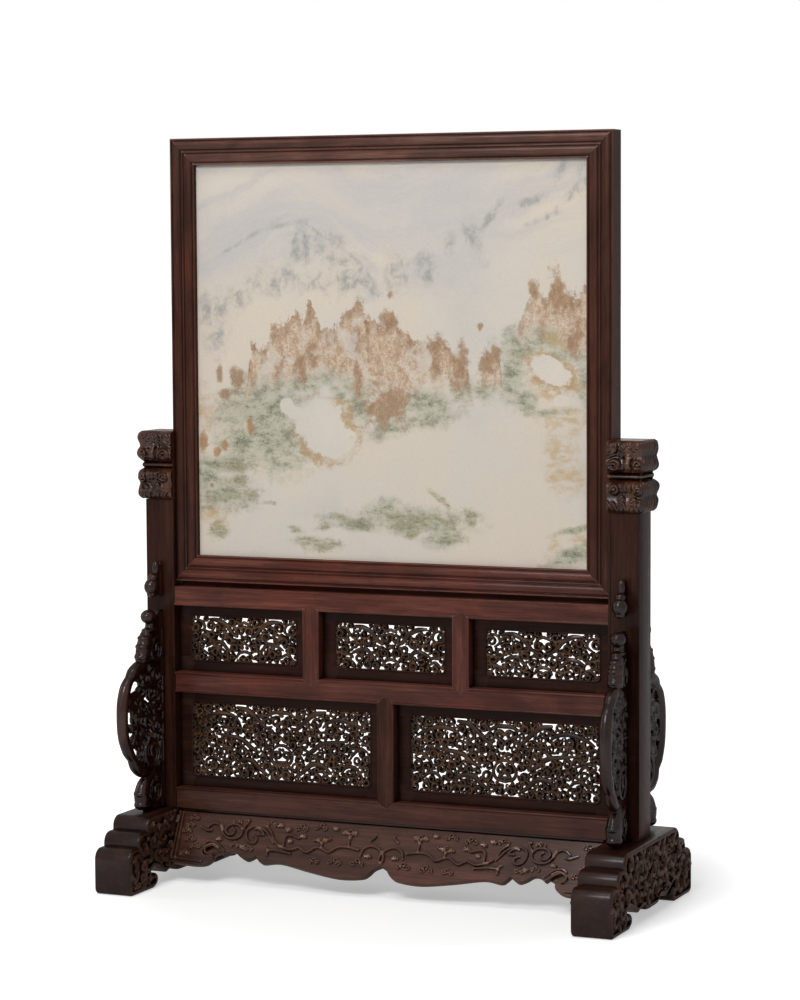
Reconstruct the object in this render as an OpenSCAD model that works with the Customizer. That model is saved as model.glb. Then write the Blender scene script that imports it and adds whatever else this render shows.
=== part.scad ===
// Table screen: a marble panel in a moulded frame that lifts out of a carved hardwood stand.
// Millimetres, +Z up, front towards -Y, origin on the floor under the middle of the stand.

/* [Panel] */
// Width of the framed panel
panel_w = 451.8; // [380:0.2:520]
// Height of the framed panel
panel_h = 427.4; // [340:0.2:520]
// Thickness of the panel frame
panel_t = 22.6; // [21.8:0.1:24]
// Face width of the frame members
frame_w = 25.6; // [24:0.2:34]
// Depth of the sunk ground between the raised bands of the frame
moulding_d = 2; // [1:0.1:3]
// Setback of the marble behind the front of the frame
marble_set = 6; // [5:0.1:6.5]
// Thickness of the marble slab
marble_t = 7; // [6:0.1:8]
// Thickness of the back board
backboard_t = 4.5; // [4:0.1:5]
// Reach of the slab and the back board into the frame groove
slab_bite = 5; // [3:0.1:6]
// Thickness of a batten across the back
batten_t = 5.6; // [5:0.1:6]
// Width of a batten across the back
batten_w = 20; // [14:0.5:30]
// Depth of the dovetailed batten housing in the back board
batten_housing = 1.5; // [1:0.1:2]
// Distance of each batten from the middle of the panel
batten_rise = 95; // [50:1:130]

/* [Posts] */
// Width of a post
post_w = 30; // [26:0.5:40]
// Depth of a post between its faces
post_d = 32; // [30:0.5:44]
// Height of a post above its foot
post_h = 368.5; // [320:0.5:400]
// Reach of the panel edge into the post groove
groove_bite = 2.5; // [1.5:0.1:5]
// Height of the carved cap
cap_h = 66; // [50:0.5:80]
// Overhang of the cap at the front, the back and the outside
cap_over = 5; // [3:0.1:8]
// Height of the bead between the two tiers of the cap
cap_bead_h = 4; // [2:0.1:6]

/* [Rails] */
// Height of the bottom rail
bottom_rail_h = 20.5; // [18:0.5:30]
// Height of the lower row of openings
lower_open_h = 93.5; // [70:0.5:120]
// Height of the middle rail
middle_rail_h = 20; // [18:0.5:30]
// Height of the upper row of openings
upper_open_h = 65; // [50:0.5:90]
// Height of the top rail
top_rail_h = 18.5; // [17:0.5:30]
// Gap between the top rail and the panel above it
panel_gap = 5.1; // [2:0.1:12]
// Thickness of the tongue under the panel
seat_t = 9; // [6:0.5:14]
// Depth of that tongue in the groove of the top rail
seat_d = 4; // [2:0.1:5]
// Width of a muntin
muntin_w = 17.2; // [14:0.2:24]
// Height of the pointed shoulder at the end of a muntin
point_h = 6.5; // [3:0.1:8]
// Depth of the pointed shoulder behind the face
point_d = 7; // [4:0.1:9]
// Width of the raised bead round each opening
bead_w = 2.2; // [1:0.1:4]
// Height of the raised bead
bead_h = 0.8; // [0.4:0.1:1.5]

/* [Openwork boards] */
// Thickness of an openwork board
board_t = 10; // [6:0.5:12]
// Reach of a board into the grooves round its opening
board_bite = 4; // [2:0.1:4.5]
// Plain margin at the sides of a board
margin_side = 11.8; // [6:0.1:20]
// Plain margin at the top and bottom of a board
margin_top = 10.3; // [6:0.1:20]
// Spacing of the scrolls
scroll_pitch = 22.5; // [18:0.5:30]
// Width of the pierced line that forms each scroll
scroll_slot = 3.2; // [2:0.1:4]

/* [Feet] */
// Length of a foot from front to back
foot_l = 228; // [200:1:280]
// Width of a foot
foot_w = 39.6; // [36:0.2:56]
// Height of a foot
foot_h = 70; // [60:0.5:90]
// Reach of the foot inside the inner face of its post
foot_inset = 1.3; // [0:0.1:3]
// Drop from one rounded step of the foot to the next
step_drop = 12.8; // [8:0.1:15]
// Length of each rounded step
step_run = 18.2; // [13:0.1:20]
// Radius of the rounded steps
nose_r = 10.5; // [6:0.1:12]
// Length of a toe along the floor, to the tip of its hook
toe_l = 57; // [46:0.5:66]
// Height of the arch beside the toe
arch_h = 20.2; // [14:0.1:24]

/* [Spandrels] */
// Thickness of a spandrel
spandrel_t = 12; // [9:0.5:16]
// Reach of a spandrel from the post
spandrel_reach = 76; // [60:0.5:82]
// Height of a spandrel above the foot
spandrel_h = 242; // [200:0.5:270]

/* [Aprons] */
// Thickness of an apron
apron_t = 8; // [6:0.1:9]
// Lean of an apron from upright, in degrees
apron_lean = 28.5; // [15:0.5:35]
// Length of an apron down its slope
apron_drop = 56; // [45:0.5:60]
// Setback of the top of the apron from the face of the rail
apron_set = 5; // [3:0.1:5.5]

/* [Joints] */
// Length of the tenons of the rails in the posts
rail_tenon_l = 16; // [8:0.5:20]
// Thickness of the tenons
tenon_t = 8; // [5:0.5:9]
// Length of the muntin tenons in the rails
muntin_tenon_l = 7; // [4:0.1:8]
// Depth of the post tenon in the foot
post_tenon_l = 34; // [20:0.5:40]
// Side of the square post tenon
post_tenon_w = 18; // [12:0.5:22]
// Thickness of the tongues of the spandrels and aprons
tongue_t = 4; // [3:0.1:5]
// Depth of those tongues in their grooves
tongue_d = 4; // [2:0.1:5]
// Free space past the end of a tenon, tongue or sunk edge
end_play = 0.5; // [0.2:0.1:1]
// Running clearance of the panel in the post grooves, each side
slide_fit = 0.3; // [0.2:0.05:0.6]

/* [Hidden] */

rosewood = "#4a2520";
dark_rosewood = "#38201c";
marble_grey = "#c9c2b4";
pale_wood = "#6b4632";

// Levels from the floor upwards
lower_z0 = foot_h + bottom_rail_h;
lower_z1 = lower_z0 + lower_open_h;
upper_z0 = lower_z1 + middle_rail_h;
upper_z1 = upper_z0 + upper_open_h;
rail_top = upper_z1 + top_rail_h;
panel_z = rail_top + panel_gap;
post_top = foot_h + post_h;

// Places across the stand
post_in = panel_w / 2 - groove_bite;
post_mid = post_in + post_w / 2;
face_y = post_d / 2;
foot_in = post_in - foot_inset;
foot_mid = foot_in + foot_w / 2;
upper_open_w = (2 * post_in - 2 * muntin_w) / 3;
lower_open_w = (2 * post_in - muntin_w) / 2;
upper_muntin_x = (upper_open_w + muntin_w) / 2;

// Depths through the panel, from its front
groove_front = marble_set;
groove_back = marble_set + marble_t + backboard_t;
groove_deep = slab_bite + end_play;
// Hidden tenons of the frame rails, with the wood left round them
frame_tenon_z0 = frame_w * 0.3;
frame_tenon_wall = 2;
frame_tenon_h = frame_w - groove_deep - frame_tenon_z0 - frame_tenon_wall;
frame_tenon_end = 5;
// Hidden tenons and dovetail of the battens
batten_tenon_t = 3;
batten_tenon_l = 6;
dovetail_flare = 1;

// Parts of the frame moulding from the outer edge inwards, with sunk lines between them
arris_w = 1.5;
fillet_w = 1.2;
lip_w = 1.2;
sunk_w = 1.3;
sunk_slope = 0.5;
band_w = (frame_w - arris_w - fillet_w - lip_w - 4 * sunk_w) / 2;
band_1 = arris_w + sunk_w;
fillet = band_1 + band_w + sunk_w;
band_2 = fillet + fillet_w + sunk_w;
lip = frame_w - lip_w;

// Shoulder beside the tenon of a rail or muntin, clear of the board grooves
tenon_wall = 1;
tenon_shoulder = board_bite + end_play + tenon_wall;

// Cap lobes as a share of a tier, and the dips beside them as shares of the overhang
cap_tier_h = (cap_h - cap_bead_h) / 2;
cap_lobe_r = cap_tier_h * 0.27;
cap_dip = cap_over * 0.3;
cap_tuck = cap_over * 0.55;

// Joints of the spandrels and aprons as shares of those pieces
spandrel_tongue_h = spandrel_h * 0.8;
spandrel_stub_l = spandrel_reach * 0.25;
apron_tongue_low = apron_drop * 0.85;
apron_tongue_l = apron_drop * 0.7;

arc_steps = 8;
curve_steps = 5;
oval_sides = 12;
scroll_steps = 18;
// Overlap where pieces of one solid meet, and reach of a cut past a face
past = 1;

function arc(c, r, a0, a1) =
    [for (i = [0:arc_steps]) let (a = a0 + (a1 - a0) * i / arc_steps) c + r * [cos(a), sin(a)]];

// Smooth curve through hand-chosen points
function curve(p) = let (n = len(p) - 1) concat([
    for (i = [0:n - 1], j = [0:curve_steps - 1])
        let (a = p[max(i - 1, 0)], b = p[i], c = p[i + 1], d = p[min(i + 2, n)], t = j / curve_steps)
        b + (c - a) * t / 2
        + (2 * a - 5 * b + 4 * c - d) * t * t / 2
        + (3 * b - a - 3 * c + d) * t * t * t / 2
], [p[n]]);

function scaled(p, by) = [for (q = p) [q.x * by.x, q.y * by.y]];
function mirrored(p) = [for (i = [len(p) - 1:-1:0]) [-p[i].x, p[i].y]];
function between(a, b, f) = a + (b - a) * f;

// Unit vector square to a path at one of its points
function side(p, i) =
    let (d = p[min(i + 1, len(p) - 1)] - p[max(i - 1, 0)]) [-d.y, d.x] / norm(d);

// Closed outline of a line that narrows from one width to another along a path
function ribbon(p, w0, w1) = let (n = len(p) - 1) concat(
    [for (i = [0:n]) p[i] + side(p, i) * between(w0, w1, i / n) / 2],
    [for (i = [n:-1:0]) p[i] - side(p, i) * between(w0, w1, i / n) / 2]);

// Closed oval with half sizes r, turned by tilt
function oval(c, r, tilt) = [
    for (i = [0:oval_sides - 1])
        let (a = 360 * i / oval_sides, x = r.x * cos(a), y = r.y * sin(a))
        c + [x * cos(tilt) - y * sin(tilt), x * sin(tilt) + y * cos(tilt)]
];

// Extrudes an outline given in Y and Z across the width
module across_x(w) {
    rotate([90, 0, 90]) linear_extrude(w, center = true) children();
}

// Extrudes an outline given in X and Z through the depth
module across_y(d) {
    rotate([90, 0, 0]) linear_extrude(d, center = true) children();
}

// Block centred across X and Y, standing on z0
module block(x, y, z0, size) {
    translate([x - size.x / 2, y - size.y / 2, z0]) cube(size);
}

// Panel frame

// Rounded band of the moulding that starts at a distance from the outer edge
function band_points(start) = [
    for (p = arc([0, start + band_w / 2], band_w / 2, -90, 90)) [moulding_d * (1 - 2 * p.x / band_w), p.y]
];

// Section of a frame member: depth from the front, then distance from the outer edge
module frame_section() {
    low = moulding_d;
    high = moulding_d / 2;
    difference() {
        polygon(concat(
            [[panel_t, 0], [high, 0], [high, arris_w], [low, arris_w + sunk_slope]],
            band_points(band_1),
            [[low, fillet - sunk_slope], [high, fillet]],
            [[high, fillet + fillet_w], [low, fillet + fillet_w + sunk_slope]],
            band_points(band_2),
            [[low, lip - sunk_slope], [high, lip], [high, frame_w], [panel_t, frame_w]]));
        translate([groove_front, frame_w - groove_deep])
            square([groove_back - groove_front, groove_deep + past]);
    }
}

// Frame member of length l lying on X, outer edge down, with mitred ends
module mitred_member(l) {
    intersection() {
        across_x(l) translate([-panel_t / 2, 0]) frame_section();
        across_y(panel_t + 2 * past) polygon([
            [-l / 2, 0], [l / 2, 0], [l / 2 - frame_w, frame_w], [frame_w - l / 2, frame_w]
        ]);
    }
}

// Hidden tenons at both ends of a frame rail, grown by free for their mortises
module frame_tenons(free = 0) {
    for (s = [-1, 1])
        block(s * (panel_w / 2 - frame_w / 2 - frame_tenon_end / 2 + free / 2), 0, frame_tenon_z0,
            [frame_w - frame_tenon_end + free, tenon_t, frame_tenon_h]);
}

module panel_rail() {
    mitred_member(panel_w);
    frame_tenons();
}

module panel_bottom_rail() {
    color(rosewood) translate([0, 0, panel_z]) {
        panel_rail();
        block(0, 0, -panel_gap - seat_d,
            [2 * (post_in - groove_bite), seat_t, panel_gap + seat_d + moulding_d]);
    }
}

module panel_top_rail() {
    color(rosewood) translate([0, 0, panel_z + panel_h]) rotate([0, 180, 0]) panel_rail();
}

// Place of a batten's middle above the floor
function batten_z(s) = panel_z + panel_h / 2 + s * batten_rise;

// Tenons of a batten, grown by free for their mortises
module batten_tenons(s, free = 0) {
    back = panel_t / 2;
    y = -back + groove_back + (batten_t - batten_housing) / 2;
    for (e = [-1, 1])
        block(e * (panel_w / 2 - frame_w + batten_tenon_l / 2 + free / 2), y, batten_z(s) - batten_w / 4,
            [batten_tenon_l + free, batten_tenon_t, batten_w / 2]);
}

module panel_stile(s) {
    difference() {
        translate([s * panel_w / 2, 0, panel_z + panel_h / 2])
            rotate([0, -s * 90, 0]) mitred_member(panel_h);
        translate([0, 0, panel_z]) frame_tenons(end_play);
        translate([0, 0, panel_z + panel_h]) rotate([0, 180, 0]) frame_tenons(end_play);
        for (b = [-1, 1]) batten_tenons(b, end_play);
    }
}

module panel_left_stile() {
    color(rosewood) panel_stile(-1);
}

module panel_right_stile() {
    color(rosewood) panel_stile(1);
}

// Sheet that fills the frame groove between two depths from the front
module groove_sheet(d0, d1) {
    inset = frame_w - slab_bite;
    translate([inset - panel_w / 2, d0 - panel_t / 2, panel_z + inset])
        cube([panel_w - 2 * inset, d1 - d0, panel_h - 2 * inset]);
}

module marble_slab() {
    color(marble_grey) groove_sheet(groove_front, groove_front + marble_t);
}

// Batten section in Y and Z, with the dovetail that slides into the back board
module batten_section() {
    y = groove_back - panel_t / 2;
    top = y + batten_t - batten_housing;
    half = batten_w / 2;
    polygon([
        [y - batten_housing, -half], [y, dovetail_flare - half], [top, dovetail_flare - half],
        [top, half - dovetail_flare], [y, half - dovetail_flare], [y - batten_housing, half]
    ]);
}

module panel_backboard() {
    color(pale_wood) difference() {
        groove_sheet(groove_front + marble_t, groove_back);
        for (s = [-1, 1])
            translate([0, 0, batten_z(s)]) across_x(panel_w) batten_section();
    }
}

module batten(s) {
    color(rosewood) {
        translate([0, 0, batten_z(s)]) across_x(panel_w - 2 * frame_w) batten_section();
        batten_tenons(s);
    }
}

module upper_batten() {
    batten(1);
}

module lower_batten() {
    batten(-1);
}

// Posts

// Bead outline standing on the line x = 0, rooted inside the face
module bead_outline() {
    polygon([
        [-past, 0], [0, 0], [bead_h, bead_h / 2],
        [bead_h, bead_w - bead_h / 2], [0, bead_w], [-past, bead_w]
    ]);
}

// Cap outline about x = 0, for a given half width: two tiers of two lobes with a bead between
module cap_outline(half) {
    r = cap_lobe_r;
    for (t = [0, 1]) translate([0, t * (cap_tier_h + cap_bead_h)]) {
        for (z = [r, cap_tier_h - r])
            polygon(concat(arc([half - r, z], r, -90, 90), arc([r - half, z], r, 90, 270)));
        translate([cap_dip - half, r]) square([2 * (half - cap_dip), cap_tier_h - 2 * r]);
    }
    translate([cap_tuck - half, r]) square([2 * (half - cap_tuck), cap_h - 2 * r]);
}

module post_cap() {
    translate([0, 0, post_top - cap_h]) intersection() {
        translate([post_mid + cap_over / 2, 0, 0])
            across_x(post_w + cap_over) cap_outline(face_y + cap_over);
        translate([post_in, 0, 0])
            across_y(post_d + 4 * cap_over) cap_outline(post_w + cap_over);
    }
}

// Tenon of the right post, grown by free for its mortise
module post_tenon(free = 0) {
    block(post_mid, 0, foot_h - post_tenon_l - free, [post_tenon_w, post_tenon_w, post_tenon_l + free]);
}

// Upright tongue of the right front spandrel in its post, grown by free for its groove
module spandrel_tongue(free = 0) {
    block(post_mid, -face_y + (tongue_d + free) / 2, foot_h,
        [tongue_t, tongue_d + free, spandrel_tongue_h + free]);
}

// Stub tenon of the right front spandrel in its foot, grown by free for its mortise
module spandrel_stub(free = 0) {
    block(post_mid, -face_y - spandrel_stub_l, foot_h - tongue_d - free,
        [tongue_t, spandrel_stub_l, tongue_d + free]);
}

// Tenons at both ends of a stand rail, grown by free for their mortises
module rail_tenons(z0, h, free = 0) {
    for (s = [-1, 1])
        block(s * (post_in + (rail_tenon_l + free) / 2), 0, z0 + tenon_shoulder,
            [rail_tenon_l + free, tenon_t, h - 2 * tenon_shoulder]);
}

// Edges of a board sunk in the grooves round the opening centred on x, grown by free
module board_edges(x, w, z0, z1, free = 0) {
    reach = board_bite + free;
    block(x, 0, z0 - reach, [w + 2 * reach, board_t, z1 - z0 + 2 * reach]);
}

module all_board_edges(free) {
    for (i = [-1:1])
        board_edges(i * (upper_open_w + muntin_w), upper_open_w, upper_z0, upper_z1, free);
    for (s = [-1, 1])
        board_edges(s * (lower_open_w + muntin_w) / 2, lower_open_w, lower_z0, lower_z1, free);
}

module post_of_right_side() {
    difference() {
        union() {
            translate([post_in, -face_y, foot_h]) cube([post_w, post_d, post_h]);
            for (s = [0, 1])
                mirror([0, s, 0]) translate([post_in, face_y, foot_h]) linear_extrude(post_h - cap_h + past)
                    rotate(90) mirror([0, 1]) bead_outline();
            post_cap();
            post_tenon();
        }
        translate([post_in - past, -panel_t / 2 - slide_fit, panel_z - slide_fit])
            cube([past + groove_bite + end_play, panel_t + 2 * slide_fit, post_top]);
        for (s = [0, 1]) mirror([0, s, 0]) spandrel_tongue(end_play);
        rail_tenons(foot_h, bottom_rail_h, end_play);
        rail_tenons(lower_z1, middle_rail_h, end_play);
        rail_tenons(upper_z1, top_rail_h, end_play);
        all_board_edges(end_play);
    }
}

module right_post() {
    color(rosewood) post_of_right_side();
}

module left_post() {
    color(rosewood) mirror([1, 0, 0]) post_of_right_side();
}

// Rails and muntins of the stand

// Rail section in Y and Z with beads along the edges that border openings
module rail_section(h, bead_below, bead_above) {
    translate([-face_y, 0]) square([post_d, h]);
    for (s = [0, 1]) mirror([s, 0]) {
        if (bead_below) translate([face_y, 0]) bead_outline();
        if (bead_above) translate([face_y, h - bead_w]) bead_outline();
    }
}

// Pointed face layers of a muntin at the front and the back
module muntin_points(x, z0, z1, proud = 0) {
    half = muntin_w / 2;
    for (s = [-1, 1])
        translate([x, s * (face_y - point_d / 2 + proud / 2), 0]) across_y(point_d + proud)
            polygon([
                [-half, z0], [0, z0 - point_h], [half, z0], [half, z1], [0, z1 + point_h], [-half, z1]
            ]);
}

// Tenons of a muntin in the rails above and below, grown by free for their mortises
module muntin_tenons(x, z0, z1, free = 0) {
    reach = muntin_tenon_l + free;
    block(x, 0, z0 - reach, [muntin_w - 2 * tenon_shoulder, tenon_t, z1 - z0 + 2 * reach]);
}

module muntin(x, z0, z1) {
    color(rosewood) difference() {
        union() {
            block(x, 0, z0, [muntin_w, post_d, z1 - z0]);
            muntin_points(x, z0, z1);
            muntin_tenons(x, z0, z1);
            for (s = [0, 1], e = [0, 1])
                translate([x, 0, z0]) mirror([e, 0, 0]) mirror([0, s, 0])
                    translate([-muntin_w / 2, face_y, 0])
                        linear_extrude(z1 - z0) rotate(90) mirror([0, 1]) bead_outline();
        }
        all_board_edges(end_play);
    }
}

module upper_left_muntin() {
    muntin(-upper_muntin_x, upper_z0, upper_z1);
}

module upper_right_muntin() {
    muntin(upper_muntin_x, upper_z0, upper_z1);
}

module lower_muntin() {
    muntin(0, lower_z0, lower_z1);
}

// Stand rail from z0 with its tenons, cut for the muntins and boards that meet it
module stand_rail(z0, h, bead_below, bead_above) {
    difference() {
        union() {
            translate([0, 0, z0]) across_x(2 * post_in) rail_section(h, bead_below, bead_above);
            rail_tenons(z0, h);
        }
        for (s = [-1, 1]) {
            muntin_points(s * upper_muntin_x, upper_z0, upper_z1, bead_h + past);
            muntin_tenons(s * upper_muntin_x, upper_z0, upper_z1, end_play);
        }
        muntin_points(0, lower_z0, lower_z1, bead_h + past);
        muntin_tenons(0, lower_z0, lower_z1, end_play);
        all_board_edges(end_play);
    }
}

module stand_top_rail() {
    color(rosewood) difference() {
        stand_rail(upper_z1, top_rail_h, true, false);
        block(0, 0, rail_top - seat_d, [2 * post_in, seat_t + 2 * slide_fit, seat_d + past]);
    }
}

module stand_middle_rail() {
    color(rosewood) stand_rail(lower_z1, middle_rail_h, true, true);
}

module stand_bottom_rail() {
    color(rosewood) difference() {
        stand_rail(foot_h, bottom_rail_h, false, true);
        for (s = [0, 1]) mirror([0, s, 0]) apron_top_tongue(end_play);
    }
}

// Openwork boards

// Radii of a scroll at its rim and its eye in a cell one unit wide, its turn, and its narrowing
scroll_rim = 0.395;
scroll_eye = 0.13;
scroll_turn = 470;
scroll_narrow = 0.7;

// Path of one pierced scroll in a cell one unit wide, from its rim to its eye
function scroll_path(start, turn) = [
    for (i = [0:scroll_steps])
        let (f = i / scroll_steps, a = start + turn * scroll_turn * f)
        between(scroll_rim, scroll_eye, f) * [cos(a), sin(a)]
];

// Four-pointed opening left where four scrolls meet, in a cell one unit wide
four_points = [for (i = [0:7]) (i % 2 == 0 ? 0.24 : 0.115) * [cos(i * 45), sin(i * 45)]];
// Three-pointed opening left where two scrolls meet the margin
three_points = [[-0.22, 0.035], [0.22, 0.035], [0.08, 0.1], [0, 0.24], [-0.08, 0.1]];

// Board for the opening centred on x: plain margins round a field pierced into scrolls
module openwork_board(x, w, z0, z1) {
    field = [w - 2 * margin_side, z1 - z0 - 2 * margin_top];
    cols = max(2, round(field.x / scroll_pitch));
    rows = max(2, round(field.y / scroll_pitch));
    cell = [field.x / cols, field.y / rows];
    color(dark_rosewood) translate([x, 0, (z0 + z1) / 2]) across_y(board_t) difference() {
        square([w + 2 * board_bite, z1 - z0 + 2 * board_bite], center = true);
        translate(-field / 2) {
            for (i = [0:cols - 1], j = [0:rows - 1]) {
                turn = (i + j) % 2 == 0 ? 1 : -1;
                path = scaled(scroll_path(90 * ((i + 2 * j) % 4), turn), cell);
                translate([(i + 0.5) * cell.x, (j + 0.5) * cell.y])
                    polygon(ribbon(path, scroll_slot, scroll_slot * scroll_narrow));
            }
            for (i = [1:cols - 1], j = [1:rows - 1])
                translate([i * cell.x, j * cell.y]) polygon(scaled(four_points, cell));
            for (i = [1:cols - 1], e = [0, 1])
                translate([i * cell.x, e * field.y]) mirror([0, e]) polygon(scaled(three_points, cell));
            for (j = [1:rows - 1], e = [0, 1])
                translate([e * field.x, j * cell.y]) rotate(e == 0 ? -90 : 90)
                    polygon(scaled(three_points, [cell.y, cell.x]));
        }
    }
}

module upper_left_openwork() {
    openwork_board(-upper_open_w - muntin_w, upper_open_w, upper_z0, upper_z1);
}

module upper_middle_openwork() {
    openwork_board(0, upper_open_w, upper_z0, upper_z1);
}

module upper_right_openwork() {
    openwork_board(upper_open_w + muntin_w, upper_open_w, upper_z0, upper_z1);
}

module lower_left_openwork() {
    openwork_board(-(lower_open_w + muntin_w) / 2, lower_open_w, lower_z0, lower_z1);
}

module lower_right_openwork() {
    openwork_board((lower_open_w + muntin_w) / 2, lower_open_w, lower_z0, lower_z1);
}

// Feet

toe_y = foot_l / 2 - toe_l;
// Rounding of the toe at the floor
floor_r = 4;
// Hook at the inner end of a toe, from the floor up and from the toe's tip, for an arch hook_arch_h high
hook_arch_h = 20.2;
hook_points = [
    [9, 0], [2, 3], [-0.2, 8], [1.5, 12.2], [5.5, 14.2],
    [10, 12.6], [13.3, 15], [12, 19], [6, 20.2]
];
// Scallops of the arch from the hook to the middle, as shares of the half span and of the arch height
scallop_points = [[0.88, 0.74], [0.684, 0.51]];
lobe_points = [[0.684, 0.51], [0.54, 0.62], [0.386, 0.645]];
middle_points = [[0.386, 0.645], [0.3, 0.44], [0.16, 0.385], [0, 0.385]];

function arch_half() = let (k = arch_h / hook_arch_h) concat(
    curve([for (p = hook_points) [toe_y + p.x * k, p.y * k]]),
    scaled(concat(scallop_points, curve(lobe_points), curve(middle_points)), [toe_y, arch_h]));

// Rounded nose of a foot, counted back from the lowest
function nose(k) = arc(
    [foot_l / 2 - k * step_run, foot_h - (2 - k) * step_drop] - [nose_r, nose_r], nose_r, 90, 0);

// Half outline of a foot in Y and Z, from the top middle round the toe to the arch middle
function foot_half() = concat(
    nose(2), nose(1), nose(0),
    arc([foot_l / 2 - floor_r, floor_r], floor_r, 0, -90),
    arch_half());

module foot_of_right_side() {
    difference() {
        translate([foot_mid, 0, 0]) across_x(foot_w) polygon(concat(foot_half(), mirrored(foot_half())));
        post_tenon(end_play);
        for (s = [0, 1]) mirror([0, s, 0]) {
            spandrel_stub(end_play);
            apron_end_tongues(end_play);
        }
    }
}

module right_foot() {
    color(dark_rosewood) foot_of_right_side();
}

module left_foot() {
    color(dark_rosewood) mirror([1, 0, 0]) foot_of_right_side();
}

// Spandrels

// Outline from the tip down, in hundredths of the reach from the post and of the height
bud = [[0, 96.7], [10.5, 100], [19.7, 96.3], [27, 93], [24.3, 90.7]];
second_bead = [[24.3, 90.7], [30.9, 88.8], [29.6, 86.4], [17, 85.3]];
third_bead = [[17, 82], [30.3, 81.2], [38.8, 78.9], [34.2, 76], [34.2, 73.8]];
shoulder = [[34.2, 73.8], [46, 72.5], [52.6, 68.2], [57.2, 63.6], [55.3, 62]];
bow = [
    [55.3, 62], [69, 60.2], [80.3, 56.9], [94.5, 51.7], [99.7, 45.5],
    [100, 38], [97.4, 31.4], [88.2, 24.8], [75.7, 20.7]
];
heel = [[74.5, 19.3], [63.7, 15.3], [49.2, 14]];
base_curl = [[49.2, 14], [59.2, 12], [67.1, 7.3], [64.5, 4.2], [55.3, 0.7], [43, 0]];
// Openings behind the bow: place, half size in hundredths of the reach, and tilt
spandrel_openings = [
    [[63, 54.5], [7, 10], 35], [[76, 46.5], [7.5, 10.5], 15], [[79, 37.8], [7.5, 10.5], 0],
    [[75, 29.3], [7.5, 10], -20], [[60, 22.8], [7, 9.5], -45], [[24, 68], [5, 14], 0]
];

module spandrel_of_front_right() {
    by = [spandrel_reach, spandrel_h] / 100;
    edge = concat(
        curve(bud), curve(second_bead), curve(third_bead), curve(shoulder),
        curve(bow), curve(heel), curve(base_curl));
    translate([post_mid, -face_y, foot_h]) mirror([0, 1, 0]) across_x(spandrel_t) difference() {
        polygon(scaled(concat(edge, [[0, 0]]), by));
        for (o = spandrel_openings)
            polygon(oval([o[0].x * by.x, o[0].y * by.y], o[1] * by.x, o[2]));
    }
    spandrel_tongue();
    spandrel_stub();
}

module front_right_spandrel() {
    color(rosewood) spandrel_of_front_right();
}

module front_left_spandrel() {
    color(rosewood) mirror([1, 0, 0]) spandrel_of_front_right();
}

module back_right_spandrel() {
    color(rosewood) mirror([0, 1, 0]) spandrel_of_front_right();
}

module back_left_spandrel() {
    color(rosewood) mirror([1, 0, 0]) mirror([0, 1, 0]) spandrel_of_front_right();
}

// Aprons

// Lower edge from the middle to the end, in hundredths of the half length and of the drop
middle_lobe = [
    [0, 73], [3.1, 80], [5.2, 90], [8.5, 97], [19, 100],
    [33.3, 92], [46.8, 82], [54.5, 85.5], [57, 80.4], [58.7, 72.3]
];
small_lobe = [
    [58.7, 72.3], [60.6, 78.2], [62.8, 81.8], [65.6, 77.3], [68.7, 69], [71.5, 69.5], [74.1, 76.8]
];
hook_arch = [
    [74.1, 76.8], [77.5, 66], [80.4, 59.8], [83.3, 64.3], [84.2, 71.4], [82.6, 78], [79.9, 74.3]
];
hook_curl = [[79.9, 74.3], [78.7, 81], [79.9, 90.4], [83, 97], [89, 98.5], [100, 96]];

// Tips the flat layout of the front apron, in X and up its slope, to its lean under the rail
module leaned() {
    translate([0, apron_set - face_y, foot_h]) rotate([-apron_lean, 0, 0]) children();
}

// Tongue along the top of the front apron, grown by free for its groove in the rail
module apron_top_tongue(free = 0) {
    y = apron_set - face_y + apron_t / cos(apron_lean) / 2;
    block(0, y, foot_h - past, [2 * foot_in - 4 * tongue_d, tongue_t, tongue_d + free + past]);
}

// Tongues at both ends of the front apron, grown by free for their slots in the feet
module apron_end_tongues(free = 0) {
    leaned() for (s = [-1, 1])
        block(s * (foot_in + (tongue_d + free - past) / 2), apron_t / 2, -apron_tongue_low,
            [tongue_d + free + past, tongue_t, apron_tongue_l]);
}

module apron_of_front() {
    half_edge = scaled(
        concat(curve(middle_lobe), curve(small_lobe), curve(hook_arch), curve(hook_curl)),
        [foot_in, -apron_drop] / 100);
    rise = apron_t * tan(apron_lean) + past;
    intersection() {
        leaned() translate([0, apron_t / 2, 0]) across_y(apron_t)
            polygon(concat(half_edge, [[foot_in, rise], [-foot_in, rise]], mirrored(half_edge)));
        block(0, 0, 0, [2 * foot_in, foot_l, foot_h]);
    }
    apron_top_tongue();
    apron_end_tongues();
}

module front_apron() {
    color(rosewood) apron_of_front();
}

module back_apron() {
    color(rosewood) mirror([0, 1, 0]) apron_of_front();
}

panel_top_rail();
panel_bottom_rail();
panel_left_stile();
panel_right_stile();
marble_slab();
panel_backboard();
upper_batten();
lower_batten();
left_foot();
right_foot();
left_post();
right_post();
front_left_spandrel();
front_right_spandrel();
back_left_spandrel();
back_right_spandrel();
stand_top_rail();
stand_middle_rail();
stand_bottom_rail();
upper_left_muntin();
upper_right_muntin();
lower_muntin();
upper_left_openwork();
upper_middle_openwork();
upper_right_openwork();
lower_left_openwork();
lower_right_openwork();
front_apron();
back_apron();
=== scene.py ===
import math

import bmesh
import bpy
import numpy as np
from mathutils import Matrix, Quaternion, Vector


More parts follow.
